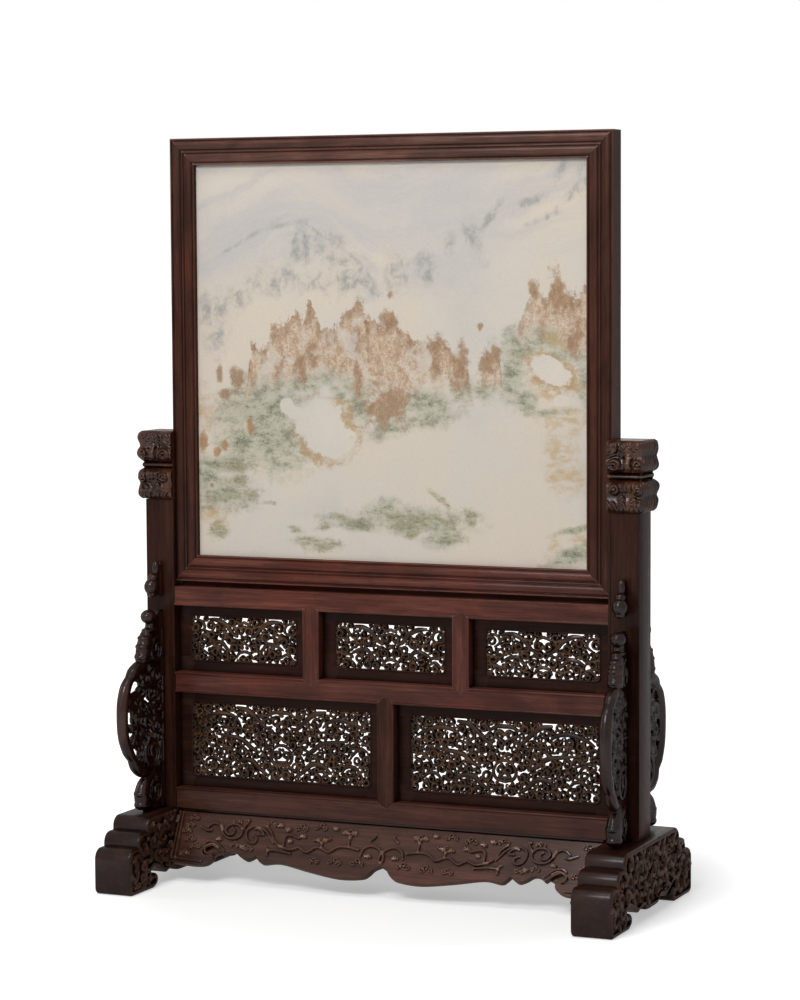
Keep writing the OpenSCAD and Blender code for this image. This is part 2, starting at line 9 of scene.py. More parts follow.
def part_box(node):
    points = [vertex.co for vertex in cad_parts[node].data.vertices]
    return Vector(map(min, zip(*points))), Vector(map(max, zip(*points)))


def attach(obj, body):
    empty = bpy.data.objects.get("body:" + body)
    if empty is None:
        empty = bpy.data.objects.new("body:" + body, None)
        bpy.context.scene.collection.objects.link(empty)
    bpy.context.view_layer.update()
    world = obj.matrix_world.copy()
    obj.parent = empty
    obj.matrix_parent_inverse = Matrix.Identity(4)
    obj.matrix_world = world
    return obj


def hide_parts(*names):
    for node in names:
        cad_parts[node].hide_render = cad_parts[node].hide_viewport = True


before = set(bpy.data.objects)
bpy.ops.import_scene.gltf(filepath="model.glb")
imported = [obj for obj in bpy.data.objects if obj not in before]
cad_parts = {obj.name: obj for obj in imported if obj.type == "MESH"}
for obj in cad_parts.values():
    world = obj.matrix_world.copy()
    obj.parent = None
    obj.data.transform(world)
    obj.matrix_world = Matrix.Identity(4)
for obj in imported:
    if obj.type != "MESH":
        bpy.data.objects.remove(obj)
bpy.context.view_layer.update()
scene = bpy.context.scene
scene.view_settings.view_transform = "Standard"
mm = 0.001
print("frame loaded,", len(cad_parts), "nodes")

# camera, fitted to the corners of the panel and the stand
cameraSetup = {
    "place": (1.14474, -2.60215, 0.60826),
    "aim": (0.00951, 0.0, 0.37685),
    "lens": 108.62, "sensor": 36,
    "roll": -0.31,
}


def placeCamera(setup):
    data = bpy.data.cameras.new("photoCamera")
    data.lens = setup["lens"]
    data.sensor_width = setup["sensor"]
    camera = bpy.data.objects.new("photoCamera", data)
    scene.collection.objects.link(camera)
    look = Vector(setup["aim"]) - Vector(setup["place"])
    turn = Quaternion((0, 0, 1), math.radians(setup["roll"]))
    camera.location = setup["place"]
    camera.rotation_mode = "QUATERNION"
    camera.rotation_quaternion = look.to_track_quat("-Z", "Y") @ turn
    scene.camera = camera


placeCamera(cameraSetup)
print("camera placed")


# materials
def linear(code):
    parts = [int(code[i:i + 2], 16) / 255 for i in (1, 3, 5)]
    return tuple(c / 12.92 if c < 0.04045 else ((c + 0.055) / 1.055) ** 2.4 for c in parts) + (1.0,)


class Bench:
    # lays out and wires the nodes of one tree
    def __init__(self, tree):
        self.tree = tree
        self.column = 0

    def put(self, kind, inputs=None, **settings):
        node = self.tree.nodes.new(kind)
        node.location = (self.column, 0)
        self.column += 190  # side by side in the editor
        for key, value in settings.items():
            setattr(node, key, value)
        for key, value in (inputs or {}).items():
            self.feed(node.inputs[key], value)
        return node

    def feed(self, socket, value):
        if isinstance(value, bpy.types.NodeSocket):
            self.tree.links.new(value, socket)
        else:
            socket.default_value = value

    def math(self, kind, a, b=0.0, clamp=False):
        return self.put("ShaderNodeMath", {0: a, 1: b}, operation=kind, use_clamp=clamp).outputs[0]

    def moved(self, vector, scale=(1, 1, 1), location=(0, 0, 0), turn=(0, 0, 0)):
        inputs = {"Vector": vector, "Location": location, "Rotation": turn, "Scale": scale}
        return self.put("ShaderNodeMapping", inputs).outputs[0]

    def noise(self, vector, scale=1.0, detail=3.0, rough=0.5, bend=0.0):
        inputs = {"Vector": vector, "Scale": scale, "Detail": detail, "Roughness": rough, "Distortion": bend}
        return self.put("ShaderNodeTexNoise", inputs).outputs[0]

    def band(self, value, low, high, start=0.0, end=1.0):
        inputs = {0: value, 1: low, 2: high, 3: start, 4: end}
        return self.put("ShaderNodeMapRange", inputs, interpolation_type="SMOOTHSTEP").outputs[0]

    def ramp(self, value, stops):
        node = self.put("ShaderNodeValToRGB", {0: value})
        parts = node.color_ramp.elements
        while len(parts) < len(stops):
            parts.new(0.5)
        for part, (at, code) in zip(parts, stops):
            part.position = at
            part.color = linear(code)
        return node.outputs[0]

    def mix(self, factor, a, b, kind="MIX"):
        a, b = (linear(c) if isinstance(c, str) else c for c in (a, b))
        node = self.put("ShaderNodeMix", {0: factor, 6: a, 7: b}, data_type="RGBA", blend_type=kind)
        return node.outputs[2]


def newMaterial(name):
    material = bpy.data.materials.new(name)
    material.use_nodes = True
    material.node_tree.nodes.clear()
    return material, Bench(material.node_tree)


finishSetup = {"bumpStrength": 0.9, "waxIor": 3.0}


def closeMaterial(bench, colour, rough, height, finish):
    bump = bench.put("ShaderNodeBump", {"Strength": finishSetup["bumpStrength"], "Distance": finish["bump"] * mm,
                                        "Height": height})
    shader = bench.put("ShaderNodeBsdfPrincipled", {
        "Base Color": colour, "Roughness": rough, "Normal": bump.outputs[0],
        "Specular IOR Level": finish["gloss"], "Coat Weight": finish["wax"],
        "Coat IOR": finishSetup["waxIor"], "Coat Roughness": finish["polish"]})
    bench.put("ShaderNodeOutputMaterial", {"Surface": shader.outputs[0]})


# woods: tones from the painted-shade hollows to the painted-highlight edges, and the finish where it isn't the plain
# one
woodPlain = {"dull": 0.4, "polish": 0.22, "hollow": 4, "highlightShare": 0.45, "bump": 0.12, "gloss": 0.02}
woodSetup = {
    "rail": {"deep": "#26120e", "body": "#502b23", "light": "#6d4236", "red": "#683123", "edgeHighlight": "#ab7d70",
             "highlightShare": 0.7, "wax": 0.028, "hollow": 6},
    # the panel's top rail in lighter, greyer wood: painted light from above and painted sheen
    "crown": {"deep": "#2a1813", "body": "#593c34", "light": "#7a574c", "red": "#673e31", "edgeHighlight": "#b08d80",
              "highlightShare": 0.7, "wax": 0.03, "hollow": 6},
    # the stand's bottom rail in darker wood: painted shade where the light falls off towards the floor
    "base": {"deep": "#1f100d", "body": "#41251e", "light": "#56352c", "red": "#51291f", "edgeHighlight": "#8f6557",
             "highlightShare": 0.6, "wax": 0.03},
    "post": {"deep": "#1b0e0a", "body": "#3d241c", "light": "#523127", "red": "#4a261b", "edgeHighlight": "#7a5143",
             "highlightShare": 0.55, "wax": 0.015},
    "upright": {"deep": "#120907", "body": "#2d1811", "light": "#3f251c", "red": "#391b12", "wax": 0.018},
    "carved": {"deep": "#070302", "body": "#220f0a", "light": "#4c2c1c", "red": "#2e140c",
               "dull": 0.36, "wax": 0.068, "polish": 0.14, "hollow": 5, "highlightShare": 0.5},
    "cap": {"deep": "#080302", "body": "#351c13", "light": "#72492f", "red": "#432014",
            "dull": 0.36, "wax": 0.08, "polish": 0.13, "hollow": 6, "highlightShare": 0.65},
    "fret": {"deep": "#080402", "body": "#2f1c10", "light": "#6b4c33", "red": "#3a2011",
             "dull": 0.36, "wax": 0.05, "polish": 0.18, "highlightShare": 0.6},
    "apron": {"deep": "#0f0706", "body": "#482c22", "light": "#5d3f34", "red": "#552f22", "edgeHighlight": "#80604f",
              "dull": 0.36, "wax": 0.06, "polish": 0.17, "hollow": 3.4, "highlightShare": 0.9},
    "foot": {"deep": "#0a0504", "body": "#23110c", "light": "#352018", "red": "#2d160e",
             "dull": 0.36, "wax": 0.052, "polish": 0.24, "hollow": 5},
    "flank": {"deep": "#060302", "body": "#452c22", "light": "#5e4032", "red": "#4b2d21",
              "wax": 0.02, "polish": 0.25, "highlightShare": 0.6},
    # darker wood for the recessed margins and the apron's top under the rail: painted shade
    "board": {"deep": "#090404", "body": "#26130d", "light": "#371e15", "red": "#32160d",
              "dull": 0.45, "wax": 0.014, "polish": 0.27, "hollow": 5},
    "back": {"deep": "#3a2319", "body": "#5f3d2b", "light": "#7d563c", "red": "#6b3f29",
             "dull": 0.55, "wax": 0.03, "polish": 0.3, "hollow": 8},
}
grainSetup = {  # noise scales along and across the grain, and the width of an edge painted lighter as a highlight
    "figure": (5, 90), "fibre": (26, 900), "pores": (80, 1900), "patch": (16, 42), "tint": 7, "edge": 1.5,
}


def makeWood(kind, grain):
    tones = dict(woodPlain, **woodSetup[kind])
    material, bench = newMaterial(kind + "Wood" + grain.upper())
    place = bench.put("ShaderNodeTexCoord").outputs["Object"]

    def grained(name, *detail):
        along, across = grainSetup[name]
        scale = [along if axis == grain else across for axis in "xyz"]
        return bench.noise(bench.moved(place, scale), 1, *detail)

    def shade(width, **settings):
        return bench.put("ShaderNodeAmbientOcclusion", {"Distance": width * mm}, **settings).outputs["AO"]

    figure = grained("figure", 5, 0.62, 0.7)
    fibre = grained("fibre", 2, 0.6)
    pores = grained("pores", 1)
    patch = grained("patch", 3, 0.6, 0.5)
    tint = bench.noise(place, grainSetup["tint"], 3, 0.6)
    colour = bench.ramp(figure, [(0.16, tones["deep"]), (0.5, tones["body"]), (0.82, tones["light"])])
    colour = bench.mix(bench.band(tint, 0.45, 0.72, 0, 0.5), colour, tones["red"])
    streak = bench.math("MULTIPLY", bench.band(fibre, 0.3, 0.7, 0.74, 1.14),
                        bench.band(patch, 0.32, 0.68, 0.74, 1.24))
    grey = bench.put("ShaderNodeCombineColor", {0: streak, 1: streak, 2: streak}).outputs[0]
    colour = bench.mix(1.0, colour, grey, "MULTIPLY")
    colour = bench.mix(bench.band(pores, 0.66, 0.74, 0, 0.5), colour, tones["deep"])
    # painted shade, with some wax and dust, darkens the hollows; painted highlight lightens the edges
    dustAndShade = shade(tones["hollow"], samples=6)
    colour = bench.mix(bench.band(dustAndShade, 0.35, 0.95, 0.8, 0), colour, tones["deep"])
    edge = shade(grainSetup["edge"], samples=4, inside=True)
    colour = bench.mix(bench.band(edge, 0.25, 0.7, tones["highlightShare"], 0), colour, tones.get("edgeHighlight", tones["light"]))
    rough = bench.math("ADD", bench.band(figure, 0.3, 0.7, tones["dull"] - 0.06, tones["dull"] + 0.08),
                       bench.band(pores, 0.6, 0.75, 0, 0.15))
    height = bench.math("SUBTRACT", bench.math("MULTIPLY", fibre, 0.5), bench.band(pores, 0.62, 0.75, 0, 0.8))
    closeMaterial(bench, colour, rough, height, tones)
    return material


(railX, railZ, shadedBaseX, postX, postZ, capZ, carvedZ, footY,
 toplitX, uprightZ, apronX, shadedBoardX, backWood, fretX, flankY) = (makeWood(*pair.split()) for pair in (
     "rail x", "rail z", "base x", "post x", "post z", "cap z", "carved z", "foot y",
     "crown x", "upright z", "apron x", "board x", "back z", "fret x", "flank y"))
print("wood made")

marbleFinish = {"bump": 0.03, "gloss": 0.3, "wax": 0.0, "polish": 0.25}


def makeMarble():
    # broad fields come from the slab's own attributes, fine grain from noise
    material, bench = newMaterial("marbleStone")
    place = bench.put("ShaderNodeTexCoord").outputs["Object"]
    band, calc = bench.band, bench.math

    def grain(across, up, *character):
        return bench.noise(bench.moved(place, (across, 0, up)), 1, *character)

    warp = bench.noise(place, 95, 6, 0.72)
    grit = grain(55, 95, 7, 0.68, 0.25)
    fleck = grain(200, 320, 4, 0.7, 0.3)
    speck = grain(430, 520, 3, 0.7, 0.4)

    def field(name):
        return bench.put("ShaderNodeAttribute", attribute_name=name).outputs["Fac"]

    def zone(name, ragged, soft):
        # a field's patch, with its edge broken up by the warp noise
        spread = calc("MULTIPLY", calc("SUBTRACT", warp, 0.5), ragged)
        return band(calc("ADD", field(name), spread), -soft, soft)

    def tinted(base, colour, *factors):
        total = factors[0]
        for factor in factors[1:]:
            total = calc("MULTIPLY", total, factor)
        return bench.mix(total, base, colour)

    cloud = bench.noise(place, 8, 4, 0.55, 0.3)
    stone = bench.ramp(cloud, [(0.3, "#bdb8b0"), (0.45, "#c6beb3"), (0.58, "#cabfaf"), (0.72, "#c9bcb0")])
    # pale lilac strata that follow the hump in the upper part
    across = bench.put("ShaderNodeSeparateXYZ", {0: place}).outputs[0]
    sway = calc("MULTIPLY", calc("SUBTRACT", bench.noise(place, 22, 4, 0.6), 0.5), 0.04)
    overHump = calc("ADD", field("hump"), sway)
    layered = bench.put("ShaderNodeCombineXYZ", {0: across, 2: overHump}).outputs[0]
    strata = bench.noise(bench.moved(layered, (5, 0, 34)), 1, 4, 0.55, 0.4)
    fine = bench.noise(bench.moved(layered, (9, 0, 120)), 1, 3, 0.6, 0.3)
    upper = band(overHump, -0.01, 0.035)
    stone = tinted(stone, "#b5b0ad", upper, band(strata, 0.42, 0.62), band(fine, 0.3, 0.7, 0.5, 1.0))
    stone = tinted(stone, "#b6b2b0", zone("haze", 0.8, 0.6), band(fine, 0.3, 0.7, 0.35, 0.75))
    # grey smudges and brushed strokes
    smear = grain(75, 55, 6, 0.68, 0.35)
    stone = tinted(stone, "#8f8e8b", zone("smoke", 2.6, 0.7), band(smear, 0.4, 0.64, 0.1, 0.9))
    stone = tinted(stone, "#93928f", zone("brush", 3.0, 0.8), band(smear, 0.35, 0.65, 0.15, 0.7))
    # grey-green and olive mottle with dark flecks
    green = zone("green", 2.8, 0.95)
    mossy = bench.ramp(grit, [(0.36, "#b2ad99"), (0.47, "#9d9b85"), (0.56, "#807f68"), (0.66, "#5c5e4b")])
    stone = tinted(stone, "#a6a491", green, 0.8)
    stone = tinted(stone, mossy, green, band(grit, 0.36, 0.56, 0.1, 0.9))
    stone = tinted(stone, "#4c4d3e", green, band(fleck, 0.52, 0.68, 0, 0.9), band(grit, 0.43, 0.57, 0, 0.85))
    stone = tinted(stone, "#59604f", green, band(speck, 0.54, 0.66, 0, 0.6), band(grit, 0.4, 0.6, 0.2, 0.8))
    stone = tinted(stone, "#c3c0b2", green, band(speck, 0.45, 0.34, 0, 0.6))
    olive = zone("olive", 3.8, 0.7)
    combed = grain(45, 190, 6, 0.7, 0.2)
    stone = tinted(stone, "#918d70", olive, band(combed, 0.33, 0.56, 0.15, 0.95))
    stone = tinted(stone, "#56553f", olive, band(fleck, 0.48, 0.66), band(combed, 0.46, 0.6, 0, 0.85))
    stone = tinted(stone, "#b3986f", zone("ochre", 3.8, 0.8), band(grit, 0.38, 0.6, 0.05, 0.8))
    # jagged brown ridge: speckled pink and beige, tan along the crest and in streaks
    columns = grain(95, 26, 3, 0.6, 0.3)
    ragged = bench.noise(place, 210, 5, 0.75)
    rise = calc("ADD", calc("MULTIPLY", calc("SUBTRACT", columns, 0.5), 0.038),
                calc("MULTIPLY", calc("SUBTRACT", ragged, 0.5), 0.034))
    below = calc("SUBTRACT", field("ridgeBelow"), rise)
    above = calc("ADD", field("ridgeAbove"), rise)
    ridge = calc("MULTIPLY", band(below, -0.001, 0.006), band(above, -0.01, 0.016))
    speckle = grain(150, 95, 8, 0.78, 0.35)
    rock = bench.ramp(speckle, [(0.33, "#80705e"), (0.43, "#a88a6f"), (0.5, "#b8997d"), (0.57, "#c7b7a3"),
                                (0.65, "#ae8b6c")])
    rust = bench.ramp(speckle, [(0.36, "#7a5f46"), (0.52, "#957556"), (0.66, "#ae9376")])
    drift = bench.put("ShaderNodeTexNoise", {"Vector": place, "Scale": 80.0, "Detail": 4.0,
                                             "Roughness": 0.65}).outputs[1]
    drift = bench.put("ShaderNodeVectorMath", {0: drift, 3: 0.014}, operation="SCALE").outputs[0]
    near = bench.put("ShaderNodeVectorMath", {0: place, 1: drift}, operation="ADD").outputs[0]
    leaf = bench.put("ShaderNodeTexVoronoi", {"Vector": bench.moved(near, (85, 0, 34)), "Scale": 1.0})
    chance = bench.put("ShaderNodeSeparateColor", {0: leaf.outputs["Color"]}).outputs[0]
    flame = calc("MULTIPLY", band(chance, 0.42, 0.66, 0, 0.95), band(leaf.outputs["Distance"], 0.7, 0.25))
    streak = grain(64, 22, 4, 0.6, 0.8)
    crest = band(below, 0.02, 0.002, 0, 0.85)
    vein = bench.noise(bench.moved(place, (130, 0, 75), (3, 0, 5)), 1, 6, 0.72, 0.6)
    rock = tinted(rock, "#c6beb2", band(vein, 0.54, 0.68, 0, 0.65))
    rock = tinted(rock, "#8b7e6e", band(speck, 0.5, 0.62, 0, 0.5))
    rock = tinted(rock, "#cfc6b8", band(speck, 0.46, 0.35, 0, 0.5))
    streak = band(streak, 0.58, 0.7, 0, 0.8)
    rock = tinted(rock, rust, calc("MAXIMUM", flame, calc("MAXIMUM", crest, streak)))
    window = bench.noise(bench.moved(place, (38, 0, 30), (7, 0, 3)), 1, 4, 0.6, 1.2)
    stone = tinted(stone, rock, ridge, band(window, 0.52, 0.66, 0.97, 0.3))
    stone = tinted(stone, rust, zone("tan", 4.2, 0.5), band(speckle, 0.3, 0.5, 0.65, 0.92))
    stone = tinted(stone, bench.ramp(speckle, [(0.4, "#906339"), (0.65, "#a97c4e")]), zone("orange", 2.6, 0.35), 0.85)
    # bright ovals with an ochre rim
    oval = zone("oval", 1.3, 0.1)
    rim = calc("SUBTRACT", zone("rim", 1.6, 0.2), oval, True)
    stone = tinted(stone, "#a78a62", rim, band(grit, 0.32, 0.54, 0.15, 0.85))
    stone = tinted(stone, bench.ramp(cloud, [(0.4, "#c4bfb3"), (0.6, "#cec3b7")]), oval, 0.95)
    crystal = bench.noise(place, 900, 2, 0.6)
    stone = tinted(stone, "#efe9e0", band(crystal, 0.4, 0.7, 0, 0.07))
    rough = calc("ADD", band(crystal, 0.3, 0.7, 0.26, 0.36), calc("MULTIPLY", ridge, 0.1))
    closeMaterial(bench, stone, rough, crystal, marbleFinish)
    return material


marbleStone = makeMarble()
print("marble made")


# mesh helpers
def addObject(name, mesh):
    piece = bpy.data.objects.new(name, mesh)
    scene.collection.objects.link(piece)
    return piece


def settle(piece, body, slotName, *nodes):
    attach(piece, body)
    if nodes:
        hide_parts(*nodes)


softSetup = {  # merge and bevel of the CAD copies in millimetres and degrees; faces that stay flat
    "merge": 0.01, "plane": 0.5, "crisp": 38, "sharp": 32, "steps": 2, "flatSides": 6, "flatArea": 100,
}


def finished(name, mesh, wood, sharp):
    mesh.materials.clear()
    mesh.materials.append(wood)
    mesh.shade_smooth()
    mesh.set_sharp_from_angle(angle=math.radians(sharp))
    # wide many-sided faces are plane, so the rounded edges beside them don't bend their shade
    for face in mesh.polygons:
        if len(face.vertices) > softSetup["flatSides"] and face.area > softSetup["flatArea"] * mm * mm:
            face.use_smooth = False
    return addObject(name, mesh)


def newMesh(name, shape, triangles=False):
    bmesh.ops.recalc_face_normals(shape, faces=shape.faces)
    if triangles:
        bmesh.ops.triangulate(shape, faces=shape.faces)
    mesh = bpy.data.meshes.new(name)
    shape.to_mesh(mesh)
    shape.free()
    return mesh


def ring(shape, loop, level):
    return [shape.verts.new((x * mm, z * mm, level * mm)) for x, z in loop]


def bridge(shape, one, two):
    # band of faces between two rings
    for i in range(len(one)):
        j = (i + 1) % len(one)
        shape.faces.new((one[i], one[j], two[j], two[i]))


def spotsOf(mesh):
    spots = np.zeros(len(mesh.vertices) * 3)
    mesh.vertices.foreach_get("co", spots)
    return spots.reshape(-1, 3)


def evaluated(holder):
    # plain mesh of an object with its modifiers, which is then dropped
    bpy.context.view_layer.update()
    mesh = bpy.data.meshes.new_from_object(holder.evaluated_get(bpy.context.evaluated_depsgraph_get()))
    bpy.data.objects.remove(holder)
    return mesh


def softCopy(nodeName, width, material):
    shape = bmesh.new()
    shape.from_mesh(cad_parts[nodeName].data)
    bmesh.ops.remove_doubles(shape, verts=shape.verts, dist=softSetup["merge"] * mm)
    bmesh.ops.dissolve_limit(shape, angle_limit=math.radians(softSetup["plane"]), verts=shape.verts,
                             edges=shape.edges)
    least = math.radians(softSetup["crisp"])
    crisp = [e for e in shape.edges if len(e.link_faces) == 2 and e.calc_face_angle(0) > least]
    bmesh.ops.bevel(shape, geom=crisp, offset=width * mm, offset_type="OFFSET", segments=softSetup["steps"],
                    profile=0.5, affect="EDGES", clamp_overlap=True)
    mesh = bpy.data.meshes.new(nodeName + "_soft")
    shape.to_mesh(mesh)
    shape.free()
    return finished(nodeName + "_soft", mesh, material, softSetup["sharp"])


def cutOff(piece, level):
    shape = bmesh.new()
    shape.from_mesh(piece.data)
    cut = bmesh.ops.bisect_plane(shape, geom=shape.verts[:] + shape.edges[:] + shape.faces[:],
                                 plane_co=(0, 0, level * mm), plane_no=(0, 0, 1), clear_outer=True)
    rim = [e for e in cut["geom_cut"] if isinstance(e, bmesh.types.BMEdge)]
    bmesh.ops.triangle_fill(shape, edges=rim, use_beauty=True)
    shape.to_mesh(piece.data)
    shape.free()


memberSetup = {
    "rounding": {"panel": 0.5, "stand": 0.7}, "postTop": 372.0,
    # the panel's top rail takes the lit wood (painted light), the stand's bottom rail the shaded one (painted shade)
    "panel": {"panel_top_rail": toplitX, "panel_bottom_rail": railX, "panel_left_stile": postZ,
              "panel_right_stile": postZ, "upper_batten": postX, "lower_batten": postX},
    "stand": {"left_post": uprightZ, "right_post": uprightZ, "stand_top_rail": railX, "stand_middle_rail": railX,
              "stand_bottom_rail": shadedBaseX, "upper_left_muntin": railZ, "upper_right_muntin": railZ,
              "lower_muntin": postZ},
}
for bodyName in ("panel", "stand"):
    for nodeName, wood in memberSetup[bodyName].items():
        member = softCopy(nodeName, memberSetup["rounding"][bodyName], wood)
        if nodeName.endswith("post"):
            cutOff(member, memberSetup["postTop"])
        settle(member, bodyName, "rosewood", nodeName)

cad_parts["panel_backboard"].data.materials.clear()
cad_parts["panel_backboard"].data.materials.append(backWood)
print("members softened")

# marble: places in millimetres across (x) and up (z) on the slab
# spots are x, z, two radii and a tilt in degrees
marbleSetup = {
    "hump": [(-200, 552), (-187, 560), (-152, 580), (-123, 590), (-95, 598), (-60, 588), (-29, 566), (20, 556),
             (80, 574), (140, 590), (200, 610)],
    "ridgeTop": [(-200, 466), (-152, 470), (-146, 500), (-141, 524), (-130, 520), (-118, 541), (-105, 546),
                 (-96, 560), (-88, 553), (-80, 562), (-66, 541), (-57, 540), (-46, 550), (-40, 560), (-31, 570),
                 (-23, 557), (-6, 543), (5, 550), (16, 541), (25, 529), (40, 528), (52, 532), (68, 520), (80, 506),
                 (84, 484), (90, 474), (93, 476), (99, 522), (106, 524), (113, 516), (117, 480), (122, 478),
                 (127, 540), (136, 548), (142, 574), (151, 582), (157, 566), (165, 576), (171, 594), (177, 578),
                 (184, 566), (192, 574), (200, 586)],
    "ridgeFoot": [(-200, 462), (-154, 466), (-132, 490), (-112, 484), (-92, 492), (-62, 496), (-34, 478), (-8, 482),
                  (14, 476), (40, 488), (62, 482), (84, 478), (92, 482), (118, 488), (122, 528), (150, 538),
                  (172, 532), (186, 514), (200, 516)],
    "spots": {
        "haze": [(-70, 646, 130, 34, 10), (60, 650, 60, 40, 60), (-150, 612, 50, 22, 24)],
        "smoke": [(-184, 556, 16, 17, 40), (-150, 572, 26, 10, 24), (-118, 584, 26, 13, 8), (-80, 584, 30, 9, -4),
                  (-62, 614, 15, 13, 0), (-90, 616, 12, 16, 0), (-44, 590, 20, 16, 40), (-28, 584, 18, 16, -30),
                  (10, 588, 14, 12, 40), (40, 596, 10, 16, 20), (88, 622, 7, 22, 20), (64, 618, 5, 9, -10),
                  (104, 642, 16, 4, 50), (138, 654, 20, 4, 18), (186, 664, 22, 4, 42), (174, 686, 4, 13, -20),
                  (196, 676, 5, 16, 0), (-180, 536, 12, 22, 0), (160, 642, 16, 3, 20)],
        "brush": [(-36, 606, 15, 1.8, -36), (-150, 622, 36, 2.2, 28), (-110, 636, 26, 2.0, 12),
                  (-70, 628, 20, 1.6, -34), (-178, 558, 3.2, 7, 24), (-20, 576, 10, 1.8, -36),
                  (86, 620, 2.0, 10, 14)],
        "green": [(-150, 462, 26, 18, 30), (-122, 462, 30, 24, 0), (-118, 432, 36, 24, 0), (-150, 430, 24, 12, 0),
                  (-88, 486, 26, 7, 12), (-44, 490, 20, 7, -40), (-28, 466, 10, 18, 0), (4, 448, 20, 8, 24),
                  (34, 470, 24, 9, 0), (46, 456, 22, 8, 8), (76, 480, 12, 9, 40), (98, 482, 9, 8, 0),
                  (126, 498, 9, 22, 0), (134, 524, 18, 12, 0), (158, 532, 18, 9, -10), (140, 472, 9, 7, -40),
                  (160, 462, 16, 3, 4), (176, 516, 22, 8, 0), (-170, 408, 26, 9, 4), (-174, 380, 26, 14, 4),
                  (-190, 396, 12, 10, 0), (190, 355, 20, 2.6, 14), (184, 330, 22, 7, 25), (56, 342, 16, 7, 8),
                  (0, 366, 18, 8, 0), (24, 357, 44, 9, 0), (-34, 353, 26, 5, -8), (-52, 478, 12, 4, -40),
                  (196, 488, 5, 14, 0)],
        "olive": [(32, 357, 13, 5, 10), (54, 359, 13, 2.6, -24), (67, 351, 6, 2.2, -30), (26, 346, 10, 3.4, 12),
                  (8, 358, 16, 9, 0), (85, 364, 9, 5, -30), (52, 380, 11, 2.6, -36), (-44, 357, 14, 3, -20),
                  (-99, 346, 8, 3, -10), (-68, 349, 9, 3, 20), (-86, 335, 14, 4, 0), (-62, 332, 16, 5, 6),
                  (-179, 343, 9, 8, 0), (-160, 406, 18, 5, 0), (-158, 391, 9, 4, 30), (-166, 376, 20, 4, 8),
                  (-191, 365, 10, 4, 14), (70, 342, 8, 3, 10), (85, 357, 3.4, 3.4, 0), (-128, 371, 8, 1.6, 0)],
        "ochre": [(176, 530, 18, 9, -14), (152, 492, 10, 8, 20), (186, 488, 16, 7, -12), (160, 478, 12, 4, -24),
                  (180, 456, 20, 10, 0), (188, 446, 14, 6, 6), (166, 446, 8, 12, 0), (172, 424, 14, 12, 0),
                  (184, 404, 16, 14, 0), (166, 398, 8, 6, 0), (192, 346, 14, 4, 12), (166, 337, 5, 14, -32),
                  (-194, 462, 8, 18, 0), (-186, 356, 14, 8, 0), (150, 514, 14, 5, 30)],
        "tan": [(-177, 494, 3.4, 6.6, 0), (-158, 490, 7, 11, 24), (-172, 474, 5, 6, 0), (-1, 464, 21, 17, 10),
                (73, 506, 7, 18, -10), (99, 506, 6, 15, -16), (109, 519, 5, 5, 0), (169, 576, 7, 17, 0),
                (178, 566, 10, 7, -20), (188, 530, 5, 16, -8), (-90, 500, 5, 13, 8), (-30, 492, 5, 13, 0),
                (3, 571, 2.6, 2.2, 40), (94, 541, 2.2, 2.8, 0), (-141, 520, 2.6, 6, 20), (-128, 514, 2.4, 4, 0),
                (146, 574, 4, 9, 14), (0, 545, 10, 8, -20), (48, 524, 9, 9, -20)],
        "orange": [(-145, 443, 3.2, 8.4, 4), (-195, 428, 5, 10, 0), (-181, 419, 4.6, 5.2, -30),
                   (-172, 425, 2.8, 5.4, 0), (-187, 386, 2, 2.2, 0), (-191, 375, 1.6, 2, 0)],
        "oval": [(-73, 451, 24, 20, 20), (-61, 436, 27, 19, -18), (-105, 464, 7.5, 8.5, 20), (-97, 458, 9, 5, 24),
                 (163, 501, 21, 12, -28), (174, 473, 9, 5, 0)],
        "rim": [(-64, 441, 34, 31, 0), (165, 499, 27, 17, -24)],
    },
    "grid": 2.0,
}


def spotField(x, z, rows):
    # 1 at the middle of a spot, 0 on its edge, negative outside
    best = np.full(len(x), -3.0)
    for middleX, middleZ, wide, high, tilt in rows:
        turn = math.radians(tilt)
        u = (x - middleX) * math.cos(turn) + (z - middleZ) * math.sin(turn)
        v = (z - middleZ) * math.cos(turn) - (x - middleX) * math.sin(turn)
        best = np.maximum(best, 1 - np.hypot(u / wide, v / high))
    return best


def buildMarble(nodeName, setup):
    low, high = (np.array(v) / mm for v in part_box(nodeName))
    acrossCount, upCount = (int((high[i] - low[i]) / setup["grid"]) for i in (0, 2))
    acrossAt, upAt = np.linspace(low[0], high[0], acrossCount + 1), np.linspace(low[2], high[2], upCount + 1)
    shape = bmesh.new()
    front = [[shape.verts.new((x * mm, low[1] * mm, z * mm)) for x in acrossAt] for z in upAt]
    for lower, upper in zip(front, front[1:]):
        for i in range(acrossCount):
            shape.faces.new((lower[i], lower[i + 1], upper[i + 1], upper[i]))
    edge = front[0] + [row[-1] for row in front[1:]] + front[-1][-2::-1] + [row[0] for row in front[-2:0:-1]]
    back = [shape.verts.new((v.co.x, high[1] * mm, v.co.z)) for v in edge]
    bridge(shape, edge, back)
    shape.faces.new(back[::-1])
    mesh = newMesh(nodeName, shape)
    x, _, z = spotsOf(mesh).T / mm
    fields = {name: spotField(x, z, rows) for name, rows in setup["spots"].items()}
    for name, row, sign in (("hump", "hump", 1), ("ridgeAbove", "ridgeFoot", 1), ("ridgeBelow", "ridgeTop", -1)):
        fields[name] = (z - np.interp(x, *np.array(setup[row]).T)) * sign * mm
    for name, values in fields.items():
        mesh.attributes.new(name, "FLOAT", "POINT").data.foreach_set("value", values)
    settle(joined(nodeName + "_stone", [mesh], marbleStone), "panel", "marble", nodeName)


